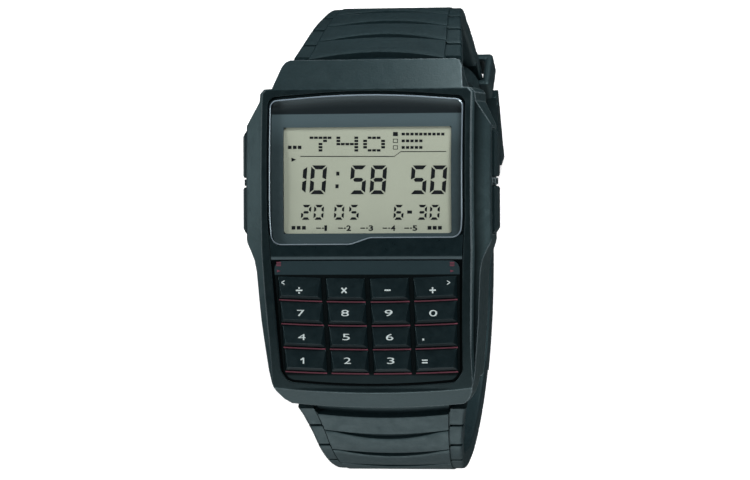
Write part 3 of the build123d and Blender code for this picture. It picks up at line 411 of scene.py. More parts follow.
def mask_material():
    """Printed frame on the crystal's underside: black band on top, with a painted reflection fading down from its
    arched rim, slate below, with painted shade darker beside the display.
    """
    m, nt, b, out = new_mat("mask_print")
    co = node(nt, "ShaderNodeTexCoord").outputs["Object"]
    sep = node(nt, "ShaderNodeSeparateXYZ")
    nt.links.new(co, sep.inputs[0])
    y = sep.outputs[1]
    band = remap(nt, y, 16.62 * MM, 16.70 * MM, 0.0, 1.0)
    # painted reflection: the arched top fades from grey at the rim to black
    xx = node(nt, "ShaderNodeMath", operation="MULTIPLY")
    nt.links.new(sep.outputs[0], xx.inputs[0])
    nt.links.new(sep.outputs[0], xx.inputs[1])
    rise = node(nt, "ShaderNodeMath", operation="MULTIPLY_ADD")
    nt.links.new(xx.outputs[0], rise.inputs[0])
    rise.inputs[1].default_value = 4.2
    nt.links.new(y, rise.inputs[2])
    rim = remap(nt, rise.outputs[0], 17.3 * MM, 19.5 * MM, 0.0, 1.0)
    curve = node(nt, "ShaderNodeMath", operation="POWER")
    nt.links.new(rim, curve.inputs[0])
    curve.inputs[1].default_value = 3.0
    rim = curve.outputs[0]
    # painted shade: the slate is darker beside the display, lighter towards top and bottom
    both = node(nt, "ShaderNodeMath", operation="ADD")
    nt.links.new(remap(nt, y, 12.0 * MM, 16.2 * MM, 0.0, 1.1), both.inputs[0])
    nt.links.new(remap(nt, y, 1.0 * MM, -1.2 * MM, 0.0, 0.55), both.inputs[1])
    shade = both.outputs[0]
    n = noise(nt, co, 1500.0, 2.0, 0.5)
    slate = mix_col(nt, shade, (0.032, 0.052, 0.058), (0.068, 0.105, 0.118))
    grey = mix_col(nt, remap(nt, n, 0.3, 0.7, 0.0, 0.12), slate, (0.07, 0.10, 0.11))
    black = mix_col(nt, rim, (0.0040, 0.0090, 0.0115), (0.400, 0.510, 0.545))
    nt.links.new(mix_col(nt, band, grey, black), b.inputs["Base Color"])
    b.inputs["Roughness"].default_value = 0.5
    b.inputs["Specular IOR Level"].default_value = 0.2
    return m


M["mask_print"] = mask_material()


def lcd_material():
    m, nt, b, out = new_mat("lcd")
    co = node(nt, "ShaderNodeTexCoord").outputs["Object"]
    n = noise(nt, co, 5000.0, 2.0, 0.6)
    big = noise(nt, co, 90.0, 2.0, 0.5)
    a = mix_col(nt, remap(nt, big, 0.3, 0.7, 0.0, 1.0), (0.430, 0.470, 0.375), (0.455, 0.495, 0.397))
    col = mix_col(nt, remap(nt, n, 0.3, 0.7, 0.0, 0.18), a, (0.30, 0.33, 0.27))
    nt.links.new(col, b.inputs["Base Color"])
    b.inputs["Roughness"].default_value = 0.55
    b.inputs["Specular IOR Level"].default_value = 0.2
    return m


M["lcd"] = lcd_material()
M["lcd_ink"] = printed("lcd_ink", (0.0045, 0.006, 0.0075), 0.5, 0.2)
M["legend_ink"] = printed("legend_ink", (0.50, 0.58, 0.58), 0.5, 0.3)
M["frame_print"] = printed("frame_print", (0.010, 0.016, 0.018), 0.5, 0.2)
M["crimson_ink"] = printed("crimson_ink", (0.135, 0.036, 0.056), 0.45, 0.3)


def glass(name, tint, clear, rough=0.03):
    """Clear acrylic: most light passes, the rest is a glossy skin; with a high clear share and a light tint the skin
    is mostly opaque and paints a highlight.
    """
    m, nt, b, out = new_mat(name)
    b.inputs["Base Color"].default_value = (*tint, 1)
    b.inputs["Roughness"].default_value = rough
    b.inputs["IOR"].default_value = 1.49
    b.inputs["Specular IOR Level"].default_value = 0.5
    b.inputs["Specular Tint"].default_value = (0.78, 0.95, 1.0, 1)
    t = node(nt, "ShaderNodeBsdfTransparent")
    mx = node(nt, "ShaderNodeMixShader")
    lw = node(nt, "ShaderNodeLayerWeight")
    lw.inputs["Blend"].default_value = 0.5
    pw = node(nt, "ShaderNodeMath", operation="POWER")
    pw.inputs[1].default_value = 4.0
    nt.links.new(lw.outputs["Facing"], pw.inputs[0])
    co = node(nt, "ShaderNodeTexCoord").outputs["Object"]
    n = noise(nt, co, 60.0, 2.0, 0.5)
    lo = remap(nt, n, 0.3, 0.7, clear * 0.96, clear * 1.04)
    add = node(nt, "ShaderNodeMath", operation="MULTIPLY_ADD", use_clamp=True)
    nt.links.new(pw.outputs[0], add.inputs[0])
    add.inputs[1].default_value = 0.5
    nt.links.new(lo, add.inputs[2])
    nt.links.new(add.outputs[0], mx.inputs[0])
    nt.links.new(t.outputs[0], mx.inputs[1])
    nt.links.new(b.outputs[0], mx.inputs[2])
    nt.links.new(mx.outputs[0], out.inputs[0])
    return m


M["crystal"] = glass("crystal", (0.02, 0.03, 0.035), 0.04)
# painted highlight: a light grey-blue, mostly opaque skin on the crystal's bevel
M["crystal_edge_highlight"] = glass("crystal_edge_highlight", (0.20, 0.255, 0.300), 0.85, 0.12)
# painted shadow: a near-black film on the crystal's outer wall for the dark gap between crystal and case
M["crystal_wall_shadow"] = printed("crystal_wall_shadow", (0.0020, 0.0036, 0.0044), 0.5, 0.08)

# ------------------------------------------------------------------ CAD nodes: finishes
slot_of = {p["node"]: p["material_slot"] for p in frame["record"]["subparts"]}
for name, o in NODES.items():
    mat = M.get(slot_of.get(name, "case_resin"), M["case_resin"])
    o.data.materials.clear()
    o.data.materials.append(mat)


def round_edges(name, width_mm, segments=2, angle=32.0):
    """Small real radii on a CAD node's edges, by modifiers only."""
    o = NODES[name]
    w = o.modifiers.new("weld", "WELD")
    w.merge_threshold = 1e-6
    b = o.modifiers.new("round", "BEVEL")
    b.width = width_mm * MM
    b.segments = segments
    b.limit_method = "ANGLE"
    b.angle_limit = math.radians(angle)
    b.use_clamp_overlap = True
    b.harden_normals = False
    return o


# ------------------------------------------------------------------ mesh helpers
def add_object(name, mesh, body, mats=None, replaces=None, angle=30.0):
    mesh.name = name
    for mt in (mats or []):
        mesh.materials.append(mt)
    o = bpy.data.objects.new(name, mesh)
    bpy.context.scene.collection.objects.link(o)
    for p in mesh.polygons:
        p.use_smooth = True
    if angle is not None:
        mesh.set_sharp_from_angle(angle=math.radians(angle))
    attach(o, body)
    if replaces:
        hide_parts(*replaces)
    return o


def to_mesh(bm, name, merge=1e-7):
    if merge:
        bmesh.ops.remove_doubles(bm, verts=bm.verts, dist=merge)
    bmesh.ops.recalc_face_normals(bm, faces=bm.faces)
    mesh = bpy.data.meshes.new(name)
    bm.to_mesh(mesh)
    bm.free()
    return mesh


def rounded(pts, n=8):
    """Closed outline, (x, y) or (x, y, radius), as points."""
    out, m = [], len(pts)
    for i, p in enumerate(pts):
        r = p[2] if len(p) > 2 else 0
        if r <= 0:
            out.append((p[0], p[1]))
            continue
        a, b = pts[i - 1], pts[(i + 1) % m]
        u = Vector((a[0] - p[0], a[1] - p[1])).normalized()
        v = Vector((b[0] - p[0], b[1] - p[1])).normalized()
        half = math.acos(max(-1, min(1, u.dot(v)))) / 2
        if half > math.pi / 2 - 1e-4:
            out.append((p[0], p[1]))
            continue
        t = r / math.tan(half)
        bis = (u + v).normalized()
        c = Vector(p[:2]) + bis * (r / math.sin(half))
        s0 = Vector(p[:2]) + u * t - c
        s1 = Vector(p[:2]) + v * t - c
        a0, a1 = math.atan2(s0.y, s0.x), math.atan2(s1.y, s1.x)
        d = (a1 - a0 + math.pi) % (2 * math.pi) - math.pi
        k = max(2, int(n * abs(d) / (math.pi / 2)) + 1, int(r * abs(d) / 1.2))
        for j in range(k + 1):
            out.append((c.x + r * math.cos(a0 + d * j / k), c.y + r * math.sin(a0 + d * j / k)))
    return out


def offset(pts, d):
    """Dense outline moved d outwards along its own normals."""
    n = len(pts)
    area = sum(pts[i][0] * pts[(i + 1) % n][1] - pts[(i + 1) % n][0] * pts[i][1] for i in range(n))
    sg = 1 if area > 0 else -1
    out = []
    for i, p in enumerate(pts):
        a, b = Vector(pts[i - 1]), Vector(pts[(i + 1) % n])
        e1, e2 = (Vector(p) - a), (b - Vector(p))
        if e1.length < 1e-9:
            e1 = e2
        if e2.length < 1e-9:
            e2 = e1
        n1 = Vector((sg * e1.y, -sg * e1.x)).normalized()
        n2 = Vector((sg * e2.y, -sg * e2.x)).normalized()
        k = 1 + n1.dot(n2)
        q = Vector(p) + (n1 + n2) * (d / max(k, 0.2))
        out.append((q.x, q.y))
    return out


def dedupe(pts, tol=1e-4):
    out = []
    for p in pts:
        if not out or math.dist(p, out[-1]) > tol:
            out.append(p)
    if math.dist(out[0], out[-1]) < tol:
        out.pop()
    return out


def ring_slab(rings, mapper, cuts=None, mat_of=None, hole=None):
    """Closed slab through rings of (points, height), capped top and bottom, or round a hole's rings."""
    bm = bmesh.new()
    loops = [[bm.verts.new((p[0], p[1], z)) for p in pts] for pts, z in rings]
    n = len(loops[0])
    for k in range(len(loops) - 1):
        for i in range(n):
            f = bm.faces.new((loops[k][i], loops[k][(i + 1) % n], loops[k + 1][(i + 1) % n], loops[k + 1][i]))
            f.material_index = mat_of[k] if mat_of else 0
    if hole:
        inner = [[bm.verts.new((p[0], p[1], z)) for p in pts] for pts, z in hole]
        m = len(inner[0])
        for k in range(len(inner) - 1):
            for i in range(m):
                bm.faces.new((inner[k][i], inner[k][(i + 1) % m], inner[k + 1][(i + 1) % m], inner[k + 1][i]))
        for L, Q in ((loops[0], inner[0]), (loops[-1], inner[-1])):
            edges = []
            for loop in (L, Q):
                for i in range(len(loop)):
                    e = bm.edges.get((loop[i], loop[(i + 1) % len(loop)]))
                    edges.append(e)
            bmesh.ops.triangle_fill(bm, use_beauty=True, use_dissolve=False, edges=edges)
    else:
        bm.faces.new(loops[0])
        bm.faces.new(loops[-1])
    for axis, values in (cuts or {}).items():
        for v in values:
            no = (1, 0, 0) if axis == "x" else (0, 1, 0)
            bmesh.ops.bisect_plane(bm, geom=bm.verts[:] + bm.edges[:] + bm.faces[:], plane_co=Vector(no) * v, plane_no=no)
    for v in bm.verts:
        q = mapper(v.co.x, v.co.y, v.co.z)
        v.co = Vector(q) * MM
    return bm


def poly_plate(bm, pts, place, low, high):
    """A thin closed plate over a 2-D outline; place(x, y, h) gives the point in mm."""
    a = [bm.verts.new(Vector(place(x, y, low)) * MM) for x, y in pts]
    b = [bm.verts.new(Vector(place(x, y, high)) * MM) for x, y in pts]
    n = len(pts)
    bm.faces.new(b)
    bm.faces.new(a[::-1])
    for i in range(n):
        bm.faces.new((a[i], a[(i + 1) % n], b[(i + 1) % n], b[i]))


def filled_with_holes(name, outer, holes, place, lo, hi):
    """A flat plate with openings, through a filled 2-D curve."""
    cu = bpy.data.curves.new(name, "CURVE")
    cu.dimensions = "2D"
    cu.fill_mode = "BOTH"
    for pts in [outer] + holes:
        sp = cu.splines.new("POLY")
        sp.points.add(len(pts) - 1)
        for q, p in zip(sp.points, pts):
            q.co = (p[0], p[1], 0, 1)
        sp.use_cyclic_u = True
    o = bpy.data.objects.new(name, cu)
    bpy.context.scene.collection.objects.link(o)
    bpy.context.view_layer.update()
    me = bpy.data.meshes.new_from_object(o.evaluated_get(bpy.context.evaluated_depsgraph_get()))
    bpy.data.objects.remove(o)
    bpy.data.curves.remove(cu)
    bm = bmesh.new()
    bm.from_mesh(me)
    bpy.data.meshes.remove(me)
    bmesh.ops.remove_doubles(bm, verts=bm.verts, dist=1e-5)
    bad = [f for f in bm.faces if f.calc_area() < 1e-9]
    bmesh.ops.delete(bm, geom=bad, context="FACES_ONLY")
    return bm


# ------------------------------------------------------------------ crystal
CRYSTAL = [(0.0, 19.7, 110.0), (13.85, 18.6, 1.1), (13.82, 2.0), (13.6, -0.86, 1.5),
           (0.6, -0.86, 2.5), (-2.2, -1.8, 2.5), (-13.6, -1.8, 1.5), (-13.82, 2.0), (-13.85, 18.6, 1.1)]
outline = dedupe(rounded(CRYSTAL, 10))
arc_map = lambda x, y, d: (x, y, arc_z(y, d))
cuts = {"y": [i * 0.9 - 1.5 for i in range(23)]}
wide = offset(outline, 0.13)
# ring faces of index 1 carry the bevel's painted highlight, index 2 the outer wall's painted shadow
bm = ring_slab([(offset(wide, -0.40), 0.0), (offset(wide, -0.29), -0.03), (offset(wide, -0.12), -0.12),
                (wide, -0.30), (wide, -0.47), (outline, -0.49), (outline, -1.2)], arc_map, cuts, [0, 1, 2, 2, 2, 0])
crystal = add_object("crystal_clear", to_mesh(bm, "crystal"), "case",
                     [M["crystal"], M["crystal_edge_highlight"], M["crystal_wall_shadow"]], ["crystal"], 25)

# ------------------------------------------------------------------ display: glass panel with its segments
LCD_O, LCD_N = (0, 0, LCD_Z), (0, 0, 1)
WIN = (-12.04, -0.19, 12.04, 14.78)


def on_lcd(px, py, h):
    p = hit(px, py, (0, 0, LCD_Z + h), LCD_N)
    return (p.x, p.y, p.z)


def seg_digit(bm, x, y, w, h, t, ch, slant=1.8, gap=0.45, place=on_lcd):
    """Seven-segment digit in picture pixels; its top left corner is (x, y)."""
    on = {"0": "abcdef", "1": "bc", "2": "abged", "3": "abgcd", "4": "fgbc", "5": "afgcd", "6": "afgcde", "7": "abc",
          "8": "abcdefg", "9": "abcdfg"}[ch]
    tv = t * 1.12
    m = h / 2
    g = gap

    def sk(px, py):
        return (x + px + slant * (1 - py / h) - slant * 0.5, y + py)
    parts = {
        "a": [(g + 0.6, 0), (w - g - 0.6, 0), (w - tv - g * 0.3, t), (tv + g * 0.3, t)],
        "d": [(tv + g * 0.3, h - t), (w - tv - g * 0.3, h - t), (w - g - 0.6, h), (g + 0.6, h)],
        "f": [(0, g + 1.0), (tv - g, t + g + 0.2), (tv - g, m - t * 0.5 - g * 0.6), (0, m - g * 0.8)],
        "e": [(0, m + g * 0.8), (tv - g, m + t * 0.5 + g * 0.6), (tv - g, h - t - g - 0.2), (0, h - g - 1.0)],
        "b": [(w - tv + g, t + g + 0.2), (w, g + 1.0), (w, m - g * 0.8), (w - tv + g, m - t * 0.5 - g * 0.6)],
        "c": [(w - tv + g, m + t * 0.5 + g * 0.6), (w, m + g * 0.8), (w, h - g - 1.0), (w - tv + g, h - t - g - 0.2)],
        "g": [(tv * 0.55 + g, m), (tv + g * 0.4, m - t * 0.5), (w - tv - g * 0.4, m - t * 0.5), (w - tv * 0.55 - g, m),
              (w - tv - g * 0.4, m + t * 0.5), (tv + g * 0.4, m + t * 0.5)],
    }
    for k in on:
        poly_plate(bm, [sk(*p) for p in parts[k]], place, 0.004, 0.02)


def rect(bm, x0, y0, x1, y1, place=on_lcd, lo=0.004, hi=0.02):
    poly_plate(bm, [(x0, y0), (x1, y0), (x1, y1), (x0, y1)], place, lo, hi)


bm = bmesh.new()
# main time, smaller date below
for x, ch in ((293.4, "1"), (310.3, "0"), (350.2, "5"), (370.4, "8"), (410.8, "5"), (430.6, "0")):
    w = 13.0 if ch == "1" else 15.8
    seg_digit(bm, x, 165.4, w, 28.8, 3.9, ch, 2.0, 0.45)
rect(bm, 336.2, 171.7, 339.4, 175.6)
rect(bm, 335.4, 184.3, 338.6, 188.2)
for x, ch in ((301.2, "2"), (313.8, "0"), (334.2, "0"), (349.0, "5"), (393.8, "6"), (417.0, "3"), (429.8, "0")):
    seg_digit(bm, x, 204.8, 9.8, 15.0, 2.5, ch, 1.0, 0.6)
rect(bm, 407.2, 210.5, 412.0, 213.6)
# dot-matrix figures
FONT5 = {"7": ["11111", "00010", "00100", "00100", "00100"], "4": ["10001", "10001", "11111", "00001", "00001"],
         "0": ["01110", "10001", "10001", "10001", "01110"]}
for x, ch in ((309.6, "7"), (336.4, "4"), (363.2, "0")):
    for r, row in enumerate(FONT5[ch]):
        for k, bit in enumerate(row):
            if bit == "1":
                rect(bm, x + k * 4.5, 136.6 + r * 3.15, x + k * 4.5 + 3.8, 136.6 + r * 3.15 + 2.3)
# rule with its step
for (x0, y0), (x1, y1) in (((300.5, 156.4), (394.5, 156.4)), ((394.4, 156.4), (400.6, 151.7)), ((400.5, 151.7), (446.0, 151.5))):
    poly_plate(bm, [(x0, y0 - 0.38), (x1, y1 - 0.38), (x1, y1 + 0.38), (x0, y0 + 0.38)], on_lcd, 0.004, 0.02)
# three small state boxes, the first one set, each with a row of level blocks
for k, y in enumerate((132.0, 138.8, 145.4)):
    if k == 0:
        rect(bm, 393.0, y, 397.8, y + 4.1)
    else:
        for q in ((393.0, y, 397.8, y + 0.6), (393.0, y + 3.5, 397.8, y + 4.1), (393.0, y, 393.6, y + 4.1), (397.2, y, 397.8, y + 4.1)):
            rect(bm, *q)
    for i in range((10, 5, 5)[k]):
        rect(bm, 401.6 + i * 4.4, y + 0.7, 401.6 + i * 4.4 + 3.2, y + 3.4)
for i in range(3):
    rect(bm, 288.0 + i * 4.9, 145.7, 288.0 + i * 4.9 + 3.6, 149.0)
poly_plate(bm, [(291.4, 157.6), (296.0, 159.7), (291.4, 161.8)], on_lcd, 0.004, 0.02)
for x in (291.6, 427.6):
    for i in range(3):
        rect(bm, x + i * 5.2, 226.0, x + i * 5.2 + 3.8, 229.6)
for x in (316.2, 338.2, 360.4, 382.6, 404.4):
    rect(bm, x, 227.6, x + 4.6, 228.7)
    rect(bm, x + 5.6, 227.6, x + 7.6, 228.7)
segments_mesh = to_mesh(bm, "lcd_segments")


def text_mesh(ch, bold=0.02, extended=1.0):
    """Outline of a character as a flat filled mesh: vertices and faces, in the font's own units."""
    cu = bpy.data.curves.new("t", "FONT")
    cu.body = ch
    cu.offset = bold
    cu.resolution_u = 6
    cu.fill_mode = "FRONT"
    o = bpy.data.objects.new("t", cu)
    bpy.context.scene.collection.objects.link(o)
    bpy.context.view_layer.update()
    me = bpy.data.meshes.new_from_object(o.evaluated_get(bpy.context.evaluated_depsgraph_get()))
    v = [(p.co.x, p.co.y) for p in me.vertices]
    f = [tuple(p.vertices) for p in me.polygons]
    bpy.data.objects.remove(o)
    bpy.data.curves.remove(cu)
    bpy.data.meshes.remove(me)
    return v, f


def stamp(bm, ch, x0, y0, x1, y1, place, lo, hi, bold=0.02):
    """A character fitted to a box given in picture pixels, as a thin closed plate."""
    v, f = text_mesh(ch, bold)
    ax, bx = min(p[0] for p in v), max(p[0] for p in v)
    ay, by = min(p[1] for p in v), max(p[1] for p in v)

    def fit(p, h):
        return Vector(place(x0 + (p[0] - ax) / (bx - ax) * (x1 - x0), y1 - (p[1] - ay) / max(by - ay, 1e-6) * (y1 - y0), h)) * MM
    tmp = bmesh.new()
    tv = [tmp.verts.new(fit(p, hi)) for p in v]
    for q in f:
        try:
            tmp.faces.new([tv[i] for i in q])
        except ValueError:
            pass
    bmesh.ops.remove_doubles(tmp, verts=tmp.verts, dist=1e-8)
    faces = tmp.faces[:]
    low = Vector(place(x0, y0, lo)) - Vector(place(x0, y0, hi))
    ext = bmesh.ops.extrude_face_region(tmp, geom=faces)
    bmesh.ops.translate(tmp, verts=[g for g in ext["geom"] if isinstance(g, bmesh.types.BMVert)], vec=low * MM)
    bmesh.ops.recalc_face_normals(tmp, faces=tmp.faces)
    me = bpy.data.meshes.new("tmp")
    tmp.to_mesh(me)
    tmp.free()
    bm.from_mesh(me)
    bpy.data.meshes.remove(me)


bm = bmesh.new()
bm.from_mesh(segments_mesh)
for x, ch in ((324.4, "1"), (346.4, "2"), (368.6, "3"), (390.8, "4"), (412.6, "5")):
    stamp(bm, ch, x, 225.3, x + (2.6 if ch == "1" else 4.6), 230.9, on_lcd, 0.004, 0.02, 0.03)
lcd_ink = add_object("lcd_segments", to_mesh(bm, "lcd_segments", 0), "case", [M["lcd_ink"]], None, 30)

# printed frame with rounded inner corners, on the underside of the mask
outer = rounded([(-12.5, -0.65, 0.6), (12.5, -0.65, 0.6), (12.5, 15.24, 0.6), (-12.5, 15.24, 0.6)], 6)
inner = rounded([(WIN[0], WIN[1], 0.45), (WIN[2], WIN[1], 0.45), (WIN[2], WIN[3], 0.45), (WIN[0], WIN[3], 0.45)], 8)
bm = filled_with_holes("display_frame", dedupe(outer), [dedupe(inner)], None, 0, 0)
for i in range(1, 16):
    bmesh.ops.bisect_plane(bm, geom=bm.verts[:] + bm.edges[:] + bm.faces[:], plane_co=(0, i, 0), plane_no=(0, 1, 0))
ext = bmesh.ops.extrude_face_region(bm, geom=bm.faces[:])
for v in [g for g in ext["geom"] if isinstance(g, bmesh.types.BMVert)]:
    v.co.z = 1.0
for v in bm.verts:
    d = -1.422 if v.co.z > 0.5 else -1.45
    v.co = Vector((v.co.x, v.co.y, arc_z(v.co.y, d))) * MM
add_object("display_frame", to_mesh(bm, "display_frame"), "case", [M["frame_print"]], None, 30)

# ------------------------------------------------------------------ key pad plate
F_R = [(14.18, 2.0), (13.9, -1.8), (13.72, -4.5), (13.1, -19.4), (12.0, -21.0)]


def panel_half_width(y):
    pts = [(14.18, 2.0), (13.9, -1.8), (13.72, -4.5), (13.1, -19.4)]
    for (xa, ya), (xb, yb) in zip(pts, pts[1:]):
        if yb <= y <= ya:
            return xa + (xb - xa) * (ya - y) / (ya - yb)
    return pts[-1][0]


PLATE_W = 0.15
top_v = -0.28


def plate_outline(inset=0.0):
    xt = panel_half_width(KEY_O.y + KEY_V.y * top_v) - 0.42 - inset
    xb = 13.1 - 0.42 - inset
    pts = [(xt, top_v - inset, 1.25), (xb, -16.25, 1.3), (11.75, -17.45 + inset, 1.3), (0.0, -18.54 + inset, 110.0),
           (-11.75, -17.45 + inset, 1.3), (-xb, -16.25, 1.3), (-xt, top_v - inset, 1.25)]
    return dedupe(rounded(pts, 8))


def key_quad(r, c, d=0.0):
    x0, x1 = COLS[c]
    taper = 1 - 0.03 * r / 3
    a, b = x0 * taper, x1 * taper
    top, bot = RED[r] - 0.20, RED[r + 1] + 0.20
    n = 4
    up_edge = [(a - d + (b - a + 2 * d) * i / n, 0) for i in range(n + 1)]
    pts = [(x, top + bow(x) + d) for x, _ in up_edge] + [(x, bot + bow(x) - d) for x, _ in reversed(up_edge)]
    return pts


holes = [key_quad(r, c, 0.05) for r in range(4) for c in range(4)]
bm = filled_with_holes("keypad_plate", plate_outline(), holes, None, 0, 0)
print("plate faces", len(bm.faces))
ext = bmesh.ops.extrude_face_region(bm, geom=bm.faces[:])
for v in [g for g in ext["geom"] if isinstance(g, bmesh.types.BMVert)]:
    v.co.z = 1.0
for v in bm.verts:
    v.co = kp(v.co.x, v.co.y, PLATE_W if v.co.z > 0.5 else -0.01) * MM
plate = add_object("keypad_plate", to_mesh(bm, "keypad_plate"), "case", [M["plate_resin"]], None, 30)
bv = plate.modifiers.new("round", "BEVEL")
bv.width, bv.segments, bv.limit_method, bv.angle_limit = 0.03 * MM, 2, "ANGLE", math.radians(40)

# crimson lines under the keys, one to each key
bm = bmesh.new()
for r in range(4):
    for c in range(4):
        x0, x1 = COLS[c]
        taper = 1 - 0.03 * r / 3
        a, b = x0 * taper, x1 * taper
        n = 6
        xs = [a + (b - a) * i / n for i in range(n + 1)]
        vm = RED[r + 1] - 0.02
        pts = [(x, vm + bow(x) + 0.09) for x in xs] + [(x, vm + bow(x) - 0.09) for x in reversed(xs)]
        poly_plate(bm, pts, lambda u, v, w: kp(u, v, w), PLATE_W - 0.01, PLATE_W + 0.025)
lines = add_object("crimson_lines", to_mesh(bm, "crimson_lines"), "case", [M["crimson_ink"]], None, 30)


def on_plate(px, py, h):
    p = hit(px, py, kp(0, 0, PLATE_W + h), KEY_N)
    return (p.x, p.y, p.z)


bm = bmesh.new()
for x in (276.4, 449.8):
    for q in ((x, 261.9, x + 4.6, 262.9), (x, 263.5, x + 4.6, 264.5), (x, 265.1, x + 4.6, 266.1)):
        rect(bm, *q, place=on_plate, lo=-0.005, hi=0.02)
    for a, b in (((x + 0.4, 272.4), (x + 3.0, 269.6)), ):
        poly_plate(bm, [(x + 0.6, 269.6), (x + 4.0, 271.0), (x + 0.6, 272.4)], on_plate, -0.005, 0.02)
marks = add_object("crimson_marks", to_mesh(bm, "crimson_marks"), "case", [M["crimson_ink"]], None, 30)

# ------------------------------------------------------------------ key legends


def key_top(name):
    """A point on the key's top face and the face's normal."""
    for r in range(4):
        for c in range(4):
            if KEYS[r][c] == name:
                taper = 1 - 0.03 * r / 3
                a, b = COLS[c][0] * taper, COLS[c][1] * taper
                top, bot = RED[r] - 0.20, RED[r + 1] + 0.20
                lean = (bow(b) - bow(a)) / (b - a)

                def at(u, v, w):
                    return kp(u, v + bow(a) + lean * (u - a), w)
                p0, p1 = at(a + 0.1, top - 0.1, KEY_LOW), at(b - 0.1, top - 0.1, KEY_LOW)
                p2 = at(a + 0.5, bot + 0.62, KEY_HIGH)
                n = (p1 - p0).cross(p2 - p0).normalized()
                return p0, (n if n.z > 0 else -n)


def on_key(px, py, h):
    p0, n = KEY_FACE
    p = hit(px, py, p0 + n * h, n)
    return (p.x, p.y, p.z)


LEGENDS = {
    "key_7": [("7", 297.2, 309.9, 304.4, 316.1)], "key_8": [("8", 341.2, 309.9, 348.9, 316.2)],
    "key_9": [("9", 384.7, 309.9, 392.4, 316.2)], "key_0": [("0", 429.2, 310.0, 437.2, 316.3)],
    "key_4": [("4", 298.0, 334.0, 305.6, 340.0)], "key_5": [("5", 342.4, 333.9, 349.8, 340.2)],
    "key_6": [("6", 385.9, 333.9, 393.3, 340.2)], "key_dot": [(".", 422.2, 338.6, 424.2, 340.4)],
    "key_1": [("1", 300.6, 357.7, 304.2, 363.7)], "key_2": [("2", 343.8, 357.6, 351.0, 363.8)],
    "key_3": [("3", 387.0, 357.6, 394.4, 363.9)], "key_equals": [("=", 421.9, 359.5, 427.6, 363.4)],
    "key_divide": [("/", 0, 0, 0, 0), ("<", 281.3, 280.0, 284.7, 285.1)], "key_multiply": [("x", 0, 0, 0, 0)],
    "key_minus": [("-", 384.6, 289.4, 390.6, 290.8)], "key_plus": [("+", 429.4, 287.0, 435.6, 293.0), (">", 446.8, 280.0, 450.2, 285.1)],
}


def bar(bm, cx, cy, length, thick, angle, place, lo, hi):
    ca, sa = math.cos(angle), math.sin(angle)
    pts = []
    for u, v in ((-length / 2, -thick / 2), (length / 2, -thick / 2), (length / 2, thick / 2), (-length / 2, thick / 2)):
        pts.append((cx + u * ca - v * sa, cy + u * sa + v * ca))
    poly_plate(bm, pts, place, lo, hi)


for key, items in LEGENDS.items():
    KEY_FACE = key_top(key)
    bm = bmesh.new()
    for ch, x0, y0, x1, y1 in items:
        if ch == "/":
            bar(bm, 299.1, 290.4, 6.4, 1.35, 0, on_key, -0.004, 0.015)
            for y in (288.0, 292.8):
                bar(bm, 299.1, y, 1.6, 1.5, 0, on_key, -0.004, 0.015)
        elif ch == "x":
            bar(bm, 344.0, 290.4, 7.2, 1.45, math.pi / 4, on_key, -0.004, 0.015)
            bar(bm, 344.0, 290.4, 7.2, 1.45, -math.pi / 4, on_key, -0.0035, 0.0155)
        elif ch == "-":
            bar(bm, 387.6, 290.2, 6.2, 1.4, 0, on_key, -0.004, 0.015)
        elif ch == "+":
            bar(bm, 432.6, 290.2, 6.4, 1.4, 0, on_key, -0.004, 0.015)
            bar(bm, 432.6, 290.2, 6.0, 1.4, math.pi / 2, on_key, -0.0035, 0.0155)
        elif ch in "<>":
            q = 1 if ch == "<" else -1
            cx = (x0 + x1) / 2
            bar(bm, cx, y0 + 1.6, 3.5, 0.85, -q * 0.56, on_key, -0.004, 0.015)
            bar(bm, cx, y1 - 1.6, 3.5, 0.85, q * 0.56, on_key, -0.0035, 0.0155)
        elif ch == "=":
            bar(bm, (x0 + x1) / 2, y0 + 0.7, x1 - x0, 1.25, 0, on_key, -0.004, 0.015)
            bar(bm, (x0 + x1) / 2, y1 - 0.7, x1 - x0, 1.25, 0, on_key, -0.004, 0.015)
        elif ch == ".":
            bar(bm, (x0 + x1) / 2, (y0 + y1) / 2, 1.9, 1.8, 0, on_key, -0.004, 0.015)
        elif ch == "1":
            w, h = x1 - x0, y1 - y0
            shape = [(0.62, 0.0), (1.0, 0.0), (1.0, 1.0), (0.60, 1.0), (0.60, 0.30), (0.0, 0.42), (0.0, 0.24)]
            poly_plate(bm, [(x0 + u * w, y0 + v * h) for u, v in shape], on_key, -0.004, 0.015)
        else:
            stamp(bm, ch, x0, y0, x1, y1, on_key, -0.004, 0.015, 0.0)
    add_object("legend_" + key[4:], to_mesh(bm, "legend", 0), key, [M["legend_ink"]], None, 30)

# ------------------------------------------------------------------ straps
DEG = math.pi / 180
P12, P6 = (22.6, 3.9), (-22.6, 1.2)
H12, H6 = -61.0 * DEG, 230.2 * DEG
S12 = (P12[0] + 1.5 * math.sin(-H12), P12[1] + 1.5 * math.cos(H12))
S6 = (P6[0] + 1.5 * math.sin(H6), P6[1] - 1.5 * math.cos(H6))


def chain(p0, h0, segs):
    out, p, h = [], p0, h0
    for L, k in segs:
        out.append((p, h, L, k))
        if abs(k) < 1e-9:
            p = (p[0] + L * math.cos(h), p[1] + L * math.sin(h))
        else:
            p = (p[0] + (math.sin(h + k * L) - math.sin(h)) / k, p[1] - (math.cos(h + k * L) - math.cos(h)) / k)
            h = h + k * L
    out.append((p, h, 0.0, 0.0))
    return out


def at_s(path, s):
    for p, h, L, k in path[:-1]:
        if s <= L:
            break
        s -= L
    else:
        p, h = path[-1][0], path[-1][1]
        k = 0.0
    if abs(k) < 1e-9:
        return p[0] + s * math.cos(h), p[1] + s * math.sin(h), h
    return (p[0] + (math.sin(h + k * s) - math.sin(h)) / k, p[1] - (math.cos(h + k * s) - math.cos(h)) / k, h + k * s)


